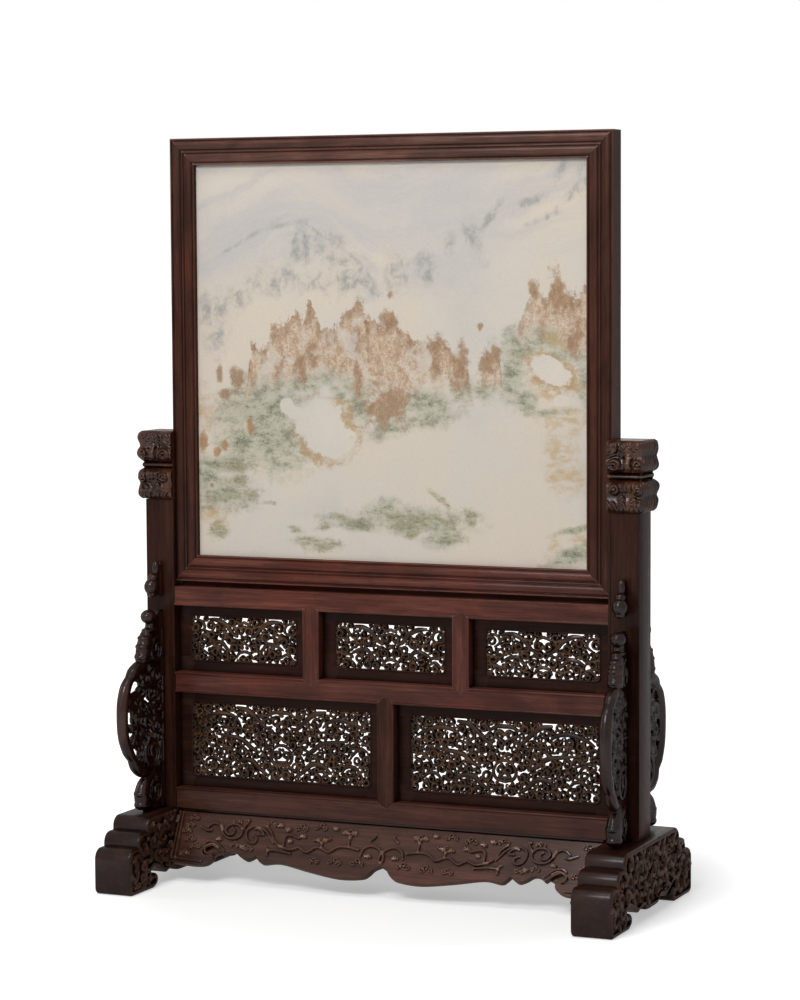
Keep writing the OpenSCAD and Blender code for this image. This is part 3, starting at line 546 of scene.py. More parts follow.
# carved strands: rows of (across, up, out, half width) in millimetres, swept by Geometry Nodes
def smoothPath(points, steps=6):
    p = np.array(points, float)
    last = len(p) - 1
    out = []
    for i in range(last):
        a, b, c, d = p[max(i - 1, 0)], p[i], p[i + 1], p[min(i + 2, last)]
        for t in np.arange(steps) / steps:
            out.append(b + (c - a) * t / 2 + (2 * a - 5 * b + 4 * c - d) * t ** 2 / 2
                       + (3 * b - a - 3 * c + d) * t ** 3 / 2)
    return np.array(out + [p[last]])


def strand(points, widths, out=0.0, steps=6):
    path = smoothPath(points, steps)
    share = np.linspace(0, 1, len(path))
    half = np.interp(share, np.linspace(0, 1, len(widths)), widths)
    return np.column_stack([path, np.full(len(path), out), half])


curlSetup = {  # along each curl, as (share of its length, factor)
    "radius": [(0, 1), (0.32, 0.97), (1, 0.27)], "rise": [(0, 0), (0.6, 0.1), (1, 0.5)],
    "wide": [(0, 1.0), (0.12, 1.05), (0.75, 0.8), (0.9, 0.9), (1, 1.3)], "points": 8, "perTurn": 13, "tuck": 0.4,
}


def curl(centre, reach, start, hand, half, turns, out=0.0):
    share = np.linspace(0, 1, int(curlSetup["points"] + curlSetup["perTurn"] * turns))
    radius, rise, wide = (np.interp(share, *np.array(curlSetup[name]).T) for name in ("radius", "rise", "wide"))
    angle = start + hand * 2 * math.pi * turns * share
    radius = (reach - half * curlSetup["tuck"]) * radius
    radius[0] += half
    return np.column_stack([centre[0] + radius * np.cos(angle), centre[1] + radius * np.sin(angle),
                            out + half * rise, half * wide])


def mirrored(rows):
    return rows * np.array([-1, 1, 1, 1])


def strandTree():
    tree = bpy.data.node_groups.new("carvedStrands", "GeometryNodeTree")
    for name, kind in (("Geometry", "Geometry"), ("Depth", "Float"), ("Sides", "Int"), ("Wood", "Material")):
        tree.interface.new_socket(name, in_out="INPUT", socket_type="NodeSocket" + kind)
    tree.interface.new_socket("Geometry", in_out="OUTPUT", socket_type="NodeSocketGeometry")
    bench = Bench(tree)
    start = bench.put("NodeGroupInput").outputs
    upright = bench.put("GeometryNodeSetCurveNormal", {"Curve": start["Geometry"]}, mode="Z_UP")
    circle = bench.put("GeometryNodeCurvePrimitiveCircle", {"Resolution": start["Sides"], "Radius": 1.0})
    shape = bench.put("ShaderNodeCombineXYZ", {0: 1.0, 1: start["Depth"], 2: 1.0})
    section = bench.put("GeometryNodeTransform", {"Geometry": circle.outputs[0], "Scale": shape.outputs[0]})
    swept = bench.put("GeometryNodeCurveToMesh", {"Curve": upright.outputs[0], "Profile Curve": section.outputs[0],
                                                  "Scale": bench.put("GeometryNodeInputRadius").outputs[0],
                                                  "Fill Caps": True})
    soft = bench.put("GeometryNodeSetShadeSmooth", {"Geometry": swept.outputs[0]})
    real = bench.put("GeometryNodeRealizeInstances", {"Geometry": soft.outputs[0]})
    done = bench.put("GeometryNodeSetMaterial", {"Geometry": real.outputs[0], "Material": start["Wood"]})
    bench.put("NodeGroupOutput", {0: done.outputs[0]})
    return tree


carvedStrands = strandTree()


def sweep(strands, depth, wood, sides=6, closed=False):
    line = bpy.data.curves.new("strandLine", "CURVE")
    line.dimensions = "3D"
    for rows in strands:
        spline = line.splines.new("POLY")
        spline.points.add(len(rows) - 1)
        spline.points.foreach_set("co", np.column_stack([rows[:, :3] * mm, np.ones(len(rows))]).ravel())
        spline.points.foreach_set("radius", rows[:, 3] * mm)
        spline.use_cyclic_u = closed
    holder = addObject("strandLine", line)
    modifier = holder.modifiers.new("strands", "NODES")
    modifier.node_group = carvedStrands
    values = {"Depth": float(depth), "Sides": sides, "Wood": wood}
    for socket in carvedStrands.interface.items_tree:
        if socket.in_out == "INPUT" and socket.name in values:
            modifier[socket.identifier] = values[socket.name]
    swept = evaluated(holder)
    bpy.data.curves.remove(line)
    return swept


def lay(mesh, origin, across, up, out):
    # moves a mesh from its own (across, up, out) axes to its place on the object, origin in millimetres
    axes = np.array([across, up, out], float)
    mesh.vertices.foreach_set("co", (spotsOf(mesh) @ axes + np.array(origin) * mm).ravel())
    if np.linalg.det(axes) < 0:
        mesh.flip_normals()
    mesh.update()
    return mesh


def joined(name, meshes, wood, sharp=40):
    whole = bmesh.new()
    for part in meshes:
        whole.from_mesh(part)
        bpy.data.meshes.remove(part)
    mesh = bpy.data.meshes.new(name)
    whole.to_mesh(mesh)
    whole.free()
    return finished(name, mesh, wood, sharp)


buildMarble("marble_slab", marbleSetup)
print("marble slab made")


def wallSpace(spots, outline):
    # distance of each spot to the outline, negative outside, and the nearest point on it
    best = np.full(len(spots), 1e9)
    foot = np.zeros_like(spots)
    inside = np.zeros(len(spots), bool)
    for p, q in zip(outline, np.roll(outline, -1, axis=0)):
        run = q - p
        share = np.clip((spots - p) @ run / max(run @ run, 1e-9), 0, 1)
        near = p + share[:, None] * run
        gap = np.hypot(*(spots - near).T)
        foot[gap < best] = near[gap < best]
        best = np.minimum(best, gap)
        rise = run[1] if run[1] else 1e-9
        inside ^= ((p[1] > spots[:, 1]) != (q[1] > spots[:, 1])) & (
            spots[:, 0] < p[0] + (spots[:, 1] - p[1]) * run[0] / rise)
    return np.where(inside, best, -best), foot


packSetup = {  # search grid, its jitter, slack of a fit and overlap in millimetres; ranges of the random factors
    "grid": 0.8, "jitter": 0.35, "slack": 0.8, "overlap": 0.15, "width": (0.85, 1.15), "turn": (0.9, 1.1),
    "level": 0.3, "slim": 0.62, "fullAt": 12, "turnsAt": [2, 4, 7], "turns": [0.75, 1.15, 1.6],
}


def packCurls(outline, bodies, setup):
    # fills an outline with touching curls round the larger bodies, large ones first
    setup = dict(packSetup, **setup)
    rng = np.random.default_rng(setup["seed"])
    outline = np.array(outline, float)
    columns, rows = (np.arange(*ends, setup["grid"]) for ends in zip(outline.min(0), outline.max(0)))
    spots = np.stack(np.meshgrid(columns, rows), -1).reshape(-1, 2)
    spots += rng.uniform(-setup["jitter"], setup["jitter"], spots.shape)
    space, foot = wallSpace(spots, outline)

    def claim(centre, size):
        gap = np.hypot(*(spots - centre).T) - size
        foot[gap < space] = centre
        np.minimum(space, gap, out=space)

    for body in bodies:
        for u, v, _, half in body[::2]:
            claim((u, v), half)
    curls = []
    for reach in np.linspace(setup["largest"], setup["smallest"], setup["grades"]):
        for _ in range(setup["perGrade"]):
            fits = np.flatnonzero((space >= reach) & (space < reach + setup["slack"]))
            if not len(fits):
                break
            pick = rng.choice(fits)
            centre = spots[pick].copy()
            away = foot[pick] - centre
            start = math.atan2(away[1], away[0])
            hand = rng.choice((-1, 1))
            half = setup["half"] * rng.uniform(*setup["width"]) * min(1.0, setup["slim"] + reach / setup["fullAt"])
            turns = np.interp(reach, setup["turnsAt"], setup["turns"]) * rng.uniform(*setup["turn"])
            level = setup["out"] + rng.uniform(-setup["level"], setup["level"])
            curls.append(curl(centre, reach + setup["overlap"], start, hand, half, turns, level))
            claim(centre, reach)
    return curls


def cornerRays(steps=6):
    # quarter turns round the four corners: signs of the corner, direction from its centre
    for k, signs in enumerate(((1, 1), (-1, 1), (-1, -1), (1, -1))):
        for j in range(steps + 1):
            angle = math.radians(90 * k + 90 * j / steps)
            yield np.array(signs), np.array([math.cos(angle), math.sin(angle)])


def roundedFrame(half, radius):
    return np.array([signs * (half - radius) + radius * ray for signs, ray in cornerRays()])


def squareFrame(half, inner):
    # as many points, out on a square-cornered frame
    return np.array([signs * (half - inner) + ray / np.abs(ray).max() * inner for signs, ray in cornerRays()])


def ringPlate(outer, inner, front, back, lip):
    # plate with a rounded window, with a small chamfer of size lip round the window
    middle = inner.mean(0)
    shrink = inner - middle
    relaxed = middle + shrink * (1 + lip / np.abs(shrink).max(0))
    shape = bmesh.new()
    rings = [ring(shape, loop, level) for loop, level in (
        (outer, front), (relaxed, front), (inner, front - lip), (inner, back + lip), (relaxed, back), (outer, back))]
    for one, two in zip(rings, rings[1:] + rings[:1]):
        bridge(shape, one, two)
    return newMesh("ringPlate", shape)


openworkSetup = {
    "bite": 4.0, "marginSide": 11.8, "marginTop": 10.3, "corner": 5.0, "front": 4.2, "back": -4.6, "lip": 0.8,
    "rim": 0.9, "rimOut": 4.1, "strandDepth": 1.25, "bodyDepth": 0.9, "bodyOut": 2.2,
    "swell": {"lower": 1.06, "upper": 1.12},
    "layers": [  # front and back nets of curls
        {"seed": 11, "largest": 4.6, "smallest": 1.3, "grades": 16, "perGrade": 28, "half": 1.5, "out": 2.2},
        {"seed": 47, "largest": 5.6, "smallest": 2.0, "grades": 12, "perGrade": 18, "half": 1.65, "out": -1.0},
    ],
    # bodies of the left half as shares of the field, each with its half widths
    "lower": [
        ([(0.25, 0.95), (0.32, 0.91), (0.375, 0.79), (0.415, 0.7), (0.45, 0.72)], [1.6, 3.0, 2.6, 2.2, 1.2]),
        ([(0.03, 0.72), (0.08, 0.8), (0.16, 0.86), (0.23, 0.83), (0.27, 0.74)], [1.2, 2.2, 2.8, 2.2, 1.0]),
        ([(0.13, 0.58), (0.2, 0.56), (0.28, 0.52), (0.33, 0.42), (0.38, 0.36)], [1.0, 2.2, 2.7, 2.6, 1.2]),
        ([(0.22, 0.13), (0.27, 0.24), (0.33, 0.25), (0.38, 0.14), (0.43, 0.05)], [1.2, 2.5, 3.0, 2.4, 1.4]),
        ([(0.02, 0.45), (0.06, 0.5), (0.1, 0.42), (0.12, 0.34)], [1.2, 2.0, 1.8, 1.0]),
        ([(0.05, 0.12), (0.09, 0.24), (0.14, 0.24), (0.17, 0.14)], [1.0, 2.0, 2.0, 1.0]),
        ([(0.425, 0.86), (0.46, 0.91), (0.5, 0.915)], [1.6, 2.2, 2.4]),
        ([(0.455, 0.42), (0.44, 0.33), (0.455, 0.24), (0.5, 0.2)], [1.4, 1.9, 1.9, 1.7]),
        ([(0.455, 0.42), (0.48, 0.47), (0.5, 0.475)], [1.4, 1.8, 1.8]),
        ([(0.465, 0.27), (0.485, 0.25), (0.5, 0.25)], [1.0, 1.6, 1.8]),
    ],
    "upper": [
        ([(0.17, 0.92), (0.25, 0.9), (0.33, 0.8), (0.39, 0.62), (0.44, 0.55)], [1.4, 2.6, 2.6, 2.3, 1.1]),
        ([(0.03, 0.9), (0.1, 0.86), (0.12, 0.72), (0.07, 0.62)], [1.1, 1.7, 1.8, 1.0]),
        ([(0.13, 0.3), (0.2, 0.4), (0.28, 0.42), (0.33, 0.3), (0.37, 0.22)], [1.0, 2.1, 2.4, 2.0, 1.0]),
        ([(0.04, 0.1), (0.1, 0.22), (0.17, 0.12)], [1.0, 1.8, 1.0]),
        ([(0.44, 0.82), (0.5, 0.88)], [1.3, 1.9]),
        ([(0.42, 0.08), (0.45, 0.2), (0.5, 0.24)], [1.2, 1.8, 1.8]),
    ],
}


def buildOpenwork(nodeName, setup):
    low, high = (np.array(v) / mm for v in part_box(nodeName))
    outer = (high - low)[[0, 2]] / 2
    field = outer - setup["bite"] - np.array([setup["marginSide"], setup["marginTop"]])
    row = "lower" if "lower" in nodeName else "upper"
    bodies = [strand((np.array(points) - 0.5) * (2 * field), widths, setup["bodyOut"])
              for points, widths in setup[row]]
    leftHalf = field * np.array([(-1, -1), (0, -1), (0, 1), (-1, 1)])
    curls = []
    for layer in setup["layers"]:
        curls += packCurls(leftHalf, bodies, dict(layer, seed=layer["seed"] + sum(map(ord, nodeName)),
                                                  half=layer["half"] * setup["swell"][row]))
    bodies += [mirrored(rows) for rows in bodies]
    curls += [mirrored(rows) for rows in curls]
    rim = roundedFrame(field, setup["corner"])
    rimRows = np.column_stack([rim, np.full(len(rim), setup["rimOut"]), np.full(len(rim), setup["rim"])])
    board = ringPlate(squareFrame(outer, setup["corner"] + outer - field), rim,
                      setup["front"], setup["back"], setup["lip"])
    # the plate and its rim take the dark board wood, painted shade in the recess
    plain = [board, sweep([rimRows], 1.0, shadedBoardX, 8, True)]
    carved = [sweep(curls, setup["strandDepth"], fretX), sweep(bodies, setup["bodyDepth"], fretX, 8)]
    for part in plain + carved:
        lay(part, (low + high) / 2, (1, 0, 0), (0, 0, 1), (0, -1, 0))
    settle(joined(nodeName + "_board", plain, shadedBoardX), "stand", "carved_rosewood", nodeName)
    settle(joined(nodeName + "_carving", carved, fretX), "stand", "carved_rosewood")
    print(nodeName, "carved with", len(curls), "curls")


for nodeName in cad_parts:
    if nodeName.endswith("openwork"):
        buildOpenwork(nodeName, openworkSetup)


# spandrels: (out from the post, up, half widths) in millimetres, fused and smoothed
def ball(spot, radii):
    shape = bmesh.new()
    bmesh.ops.create_uvsphere(shape, u_segments=20, v_segments=14, radius=1)
    for vert in shape.verts:
        vert.co = Vector([(c + v * r) * mm for c, v, r in zip(spot, vert.co, radii)])
    return newMesh("ball", shape)


def slab(outline, low, high):
    shape = bmesh.new()
    under, over = ring(shape, outline, low), ring(shape, outline, high)
    shape.faces.new(over)
    shape.faces.new(under[::-1])
    bridge(shape, under, over)
    return newMesh("slab", shape, True)


def fused(meshes, voxel, rounds, wood):
    holder = joined("fusing", meshes, wood)
    remesh = holder.modifiers.new("fuse", "REMESH")
    remesh.mode = "VOXEL"
    remesh.voxel_size = voxel * mm
    smooth = holder.modifiers.new("ease", "SMOOTH")
    smooth.factor = 0.5
    smooth.iterations = rounds
    mesh = evaluated(holder)
    mesh.shade_smooth()
    return mesh


def ringRows(spot, radii, half, out, count=22):
    angle = np.linspace(0, 2 * math.pi, count)
    return np.column_stack([spot[0] + radii[0] * np.cos(angle), spot[1] + radii[1] * np.sin(angle),
                            np.full(count, out), np.full(count, half)])


spandrelSetup = {
    "centre": 238.4, "face": 16.0, "splay": {"front": 5.5, "back": 0.8}, "voxel": 0.7, "rounds": 2,
    "rods": [  # lobed bow, shoulder and heel: centre line and half widths
        ([(31, 214), (41, 212.5), (50, 208), (56.5, 201)], [5.0, 6.0, 6.1, 4.8]),
        ([(53.5, 205), (62.5, 195), (67.8, 181), (68.8, 163), (66.8, 147), (59.6, 132.5), (51.2, 123.5)],
         [4.4, 5.8, 5.8, 5.7, 5.7, 5.8, 4.6]),
        ([(54.6, 127), (48, 117), (39.5, 110.5), (29, 108.5)], [4.4, 5.9, 5.7, 4.6]),
        ([(16, 106), (26, 103), (34, 97), (37.6, 87), (36, 76)], [3.4, 4.6, 6.4, 7.6, 7.0]),
        ([(19, 255), (19.5, 250), (20, 246)], [5.2, 4.8, 6.4]),
        ([(25, 243), (29, 236), (32, 227), (33, 217)], [6.2, 7.0, 7.4, 7.2]),
    ],
    "balls": [  # bud, ball, ledge, ribbed shoulder and heel: centre and radii
        ((8, 305.5, 0), (3.6, 7.4, 3.6)), ((12.6, 297, 0), (5.4, 3.9, 5.0)), ((15.4, 288, 0), (8.4, 8.4, 7.2)),
        ((15.4, 280.6, 0), (5.4, 3.0, 5.0)), ((22, 259.5, 0), (8.6, 7.0, 7.4)), ((20.5, 246.4, 0), (10.5, 2.6, 6.6)),
        ((29.6, 239.6, 0), (7.4, 3.4, 6.8)), ((32.4, 231.6, 0), (7.8, 3.6, 7.4)), ((34, 221.6, 0), (8.0, 5.0, 7.6)),
        ((37.8, 88.6, 0), (8.4, 5.0, 7.6)), ((36.6, 77.6, 0), (9.0, 5.4, 7.8)),
    ],
    "plates": [  # outline and half thickness
        ([(0, 277), (0, 311), (4, 311), (8, 303), (10, 292), (9, 281)], 2.4),
        ([(0, 208), (0, 262), (8, 264), (16, 256), (22, 248), (30, 240), (31, 222), (36, 213), (44, 206), (24, 204)],
         2.6),
        ([(0, 70), (0, 246), (3.6, 246), (3.6, 110), (6, 104), (6, 70)], 3.4),
        ([(0, 70), (0, 116), (32, 114), (34, 108), (22, 104), (26, 92), (33, 84), (33, 70)], 2.6),
    ],
    "leaves": [  # scrolled leaves on the sides: centre, radii, start in degrees, hand
        ((14.5, 227), (10.8, 12.4), 100, -1), ((23, 127.5), (14.6, 14.6), 70, -1), ((18.5, 89), (12.4, 12), 100, -1)],
    "leafHalf": 2.0, "leafOut": 4.4, "leafPlate": 2.4, "leafTurns": 1.3, "leafDepth": 0.9,
    "links": [  # bridges between the pierced field and the bow
        ([(36, 204), (46, 203), (57, 199)], [3.4, 3.0, 2.6]), ([(42, 188), (53, 186), (65, 186)], [3.4, 3.2, 2.6]),
        ([(44, 178), (55, 177), (67, 176)], [3.6, 3.4, 2.8]), ([(44, 156), (55, 154.5), (66, 153)], [3.4, 3.2, 2.8]),
        ([(40, 138), (51, 137), (62, 137)], [3.4, 3.2, 2.6]), ([(34, 119), (43, 120), (50, 121)], [3.4, 3.0, 2.6]),
        ([(46, 182), (53, 184), (55, 180), (51, 178)], [2.4, 2.4, 2.2, 1.8]),
        ([(45, 172), (52, 170), (52, 165), (48, 165)], [2.4, 2.4, 2.2, 1.8]),
        ([(44, 150), (50, 147), (49, 143), (46, 144)], [2.4, 2.4, 2.2, 1.8]),
    ],
    "sideCurls": {"seed": 5, "largest": 8.6, "smallest": 3.4, "grades": 9, "perGrade": 9, "half": 2.8, "out": 0.0},
    "sideDepth": 1.5,
    "sideField": [(3, 110), (34, 110), (47, 121), (45, 125), (44, 129), (46, 133), (56, 136), (54, 141), (51, 146),
                  (54, 150), (61, 153), (56, 158), (52, 164), (56, 170), (62, 175), (62, 186), (54, 190), (48, 195),
                  (47, 200), (52, 204), (36, 214), (3, 216)],
}


def buildSpandrels(setup):
    rods = [strand(points, widths) for points, widths in setup["rods"] + setup["links"]]
    parts = [sweep(rods, 1.0, carvedZ, 14)]
    parts += [ball(spot, radii) for spot, radii in setup["balls"]]
    parts += [slab(outline, -half, half) for outline, half in setup["plates"]]
    scrolls, blocks = [], []
    for spot, radii, start, hand in setup["leaves"]:
        stretch = radii[0] / radii[1]
        for side in (-1, 1):
            rows = curl((0, 0), radii[1], math.radians(start), hand, setup["leafHalf"], setup["leafTurns"])
            rows[:, 0] = rows[:, 0] * stretch + spot[0]
            rows[:, 1] += spot[1]
            rows[:, 2] = side * (setup["leafOut"] + rows[:, 2])
            scrolls.append(rows)
        blocks.append(ringRows(spot, (radii[0] / 2, radii[1] / 2), max(radii) / 2 + 1, 0))
        parts.append(slab(ringRows(spot, radii, 0, 0)[:-1, :2], -setup["leafPlate"], setup["leafPlate"]))
    fret = packCurls(setup["sideField"], blocks, setup["sideCurls"])
    parts += [sweep(scrolls, setup["leafDepth"], carvedZ, 10), sweep(fret, setup["sideDepth"], carvedZ, 8)]
    whole = fused(parts, setup["voxel"], setup["rounds"], carvedZ)
    print("spandrel fused,", len(whole.polygons), "faces")
    for fore, sign in (("front", -1), ("back", 1)):
        turn = math.radians(setup["splay"][fore])
        for side, place in (("left", -1), ("right", 1)):
            mesh = lay(whole.copy(), (place * setup["centre"], sign * setup["face"], 0),
                       (place * math.sin(turn), sign * math.cos(turn), 0), (0, 0, 1),
                       (math.cos(turn), -place * sign * math.sin(turn), 0))
            nodeName = fore + "_" + side + "_spandrel"
            settle(joined(nodeName + "_carving", [mesh], carvedZ, 60), "stand", "carved_rosewood", nodeName)


buildSpandrels(spandrelSetup)
print("spandrels carved")


# feet: half profile from the middle to the front, (forward, up) in millimetres
footSetup = {
    "centre": 241.9, "half": 19.8, "long": 114.0, "high": 70.0, "nose": 10.5, "stepOut": 18.2, "stepDown": 12.8,
    "floorRound": 6.0, "edge": 2.8, "recess": 2.6, "reliefDepth": 0.6, "groundIn": 0.5, "fieldIn": 0.3,
    "flankTilt": 0.8, "underTilt": -0.3,
    "hook": [(66, 0), (59, 3), (56.8, 8), (58.5, 12.2), (62.5, 14.2), (67, 12.6), (70.3, 15), (69, 19), (63, 20.2)],
    "arch": [[(63, 20.2), (50.2, 14.9), (39, 10.3)], [(39, 10.3), (30.8, 12.5), (22, 13.0)],
             [(22, 13.0), (17.1, 8.9), (9.1, 7.8), (0, 7.8)]],
    "border": 3.3,
    "fieldFoot": [(110, 4.2), (68, 4.2), (62, 8), (64.5, 9.6), (72, 9.5), (75, 15), (73, 21.5), (65, 24.5),
                  (50.2, 19.3), (39, 14.6), (30.8, 16.6), (22, 17.2), (16.6, 13), (9, 12), (0, 12)],
    "curls": {"seed": 21, "largest": 7.4, "smallest": 3.0, "grades": 10, "perGrade": 18, "half": 3.2, "out": 1.0,
              "turns": [0.5, 0.62, 0.8]},
}


def noseSteps(setup, inset):
    points = [(0, setup["high"] - inset)]
    for k in (2, 1, 0):
        centre = (setup["long"] - k * setup["stepOut"] - setup["nose"],
                  setup["high"] - (2 - k) * setup["stepDown"] - setup["nose"])
        radius = setup["nose"] - inset
        for angle in np.radians(np.linspace(90, 0, 9)):
            points.append((centre[0] + radius * math.cos(angle), centre[1] + radius * math.sin(angle)))
        if k:
            points.append((centre[0] + radius, centre[1] + setup["nose"] - setup["stepDown"] - inset))
    return points


def wholeLoop(half):
    half = np.array(half)
    back = half[1:-1][::-1] * (-1, 1)
    return np.vstack([half, back])


def insetLoop(loop, amount):
    ahead, behind = np.roll(loop, -1, axis=0) - loop, loop - np.roll(loop, 1, axis=0)
    ahead /= np.linalg.norm(ahead, axis=1)[:, None]
    behind /= np.linalg.norm(behind, axis=1)[:, None]
    inward = np.column_stack([ahead[:, 1] + behind[:, 1], -ahead[:, 0] - behind[:, 0]])
    size = np.linalg.norm(inward, axis=1)[:, None]
    stretch = np.clip(2 / np.maximum(size, 0.5), 1, 1.6)
    return loop + inward / np.maximum(size, 1e-6) * amount * stretch


def tidyLoop(points, least=0.15):
    kept = [np.array(points[0], float)]
    for point in points[1:]:
        if np.linalg.norm(np.array(point) - kept[-1]) > least:
            kept.append(np.array(point, float))
    return np.array(kept)


def buildFoot(nodeName, place, setup):
    half = noseSteps(setup, 0)
    corner = setup["floorRound"]
    half += [(setup["long"] - corner + corner * math.cos(a), corner - corner * math.sin(a))
             for a in np.radians((0, 30, 60, 90))]
    half += list(smoothPath(setup["hook"], 5))
    for part in setup["arch"]:
        half += list(smoothPath(part, 5))[1:]
    loop = wholeLoop(tidyLoop(half))
    field = wholeLoop(tidyLoop(noseSteps(setup, setup["border"]) + list(smoothPath(setup["fieldFoot"], 4))))
    edge, wide = setup["edge"], setup["half"]
    ground = wide - setup["recess"]
    shape = bmesh.new()

    def edgesOf(verts):
        return [shape.edges.get(pair) or shape.edges.new(pair) for pair in zip(verts, verts[1:] + verts[:1])]

    walls, relief = [], []
    for side in (-1, 1):
        rings = [ring(shape, insetLoop(loop, edge * (1 - math.cos(a))), side * (wide - edge + edge * math.sin(a)))
                 for a in np.radians((0, 25, 50, 75, 90))]
        for one, two in zip(rings, rings[1:]):
            bridge(shape, one, two)
        rimRing = ring(shape, field, side * wide)
        groundRing = ring(shape, insetLoop(field, setup["groundIn"]), side * ground)
        bmesh.ops.triangle_fill(shape, edges=edgesOf(rings[-1]) + edgesOf(rimRing), use_beauty=True)
        bridge(shape, rimRing, groundRing)
        bmesh.ops.triangle_fill(shape, edges=edgesOf(groundRing), use_beauty=True)
        walls.append(rings[0])
        packing = dict(setup["curls"], out=0.0, seed=setup["curls"]["seed"] + 3 * side + round(place))
        for rows in packCurls(insetLoop(field, setup["fieldIn"]), [], packing):
            rows[:, 2] = side * (ground + setup["curls"]["out"] + np.abs(rows[:, 2]))
            relief.append(rows)
    bridge(shape, *walls)
    mesh = newMesh("footBody", shape)
    plain = len(mesh.polygons)
    parts = [mesh, sweep(relief, setup["reliefDepth"], footY, 8)]
    for part in parts:
        lay(part, (place * setup["centre"], 0, 0), (0, 1, 0), (0, 0, 1), (1, 0, 0))
    foot = joined(nodeName + "_carving", parts, footY, 38)
    # sides, relief and undersides take the drier flank wood
    foot.data.materials.append(flankY)
    for face in foot.data.polygons:
        if face.index >= plain or abs(face.normal.x) > setup["flankTilt"] or face.normal.z < setup["underTilt"]:
            face.material_index = 1
    settle(foot, "stand", "carved_rosewood", nodeName)
    print(nodeName, "carved with", len(relief), "curls")


buildFoot("left_foot", -1, footSetup)
buildFoot("right_foot", 1, footSetup)


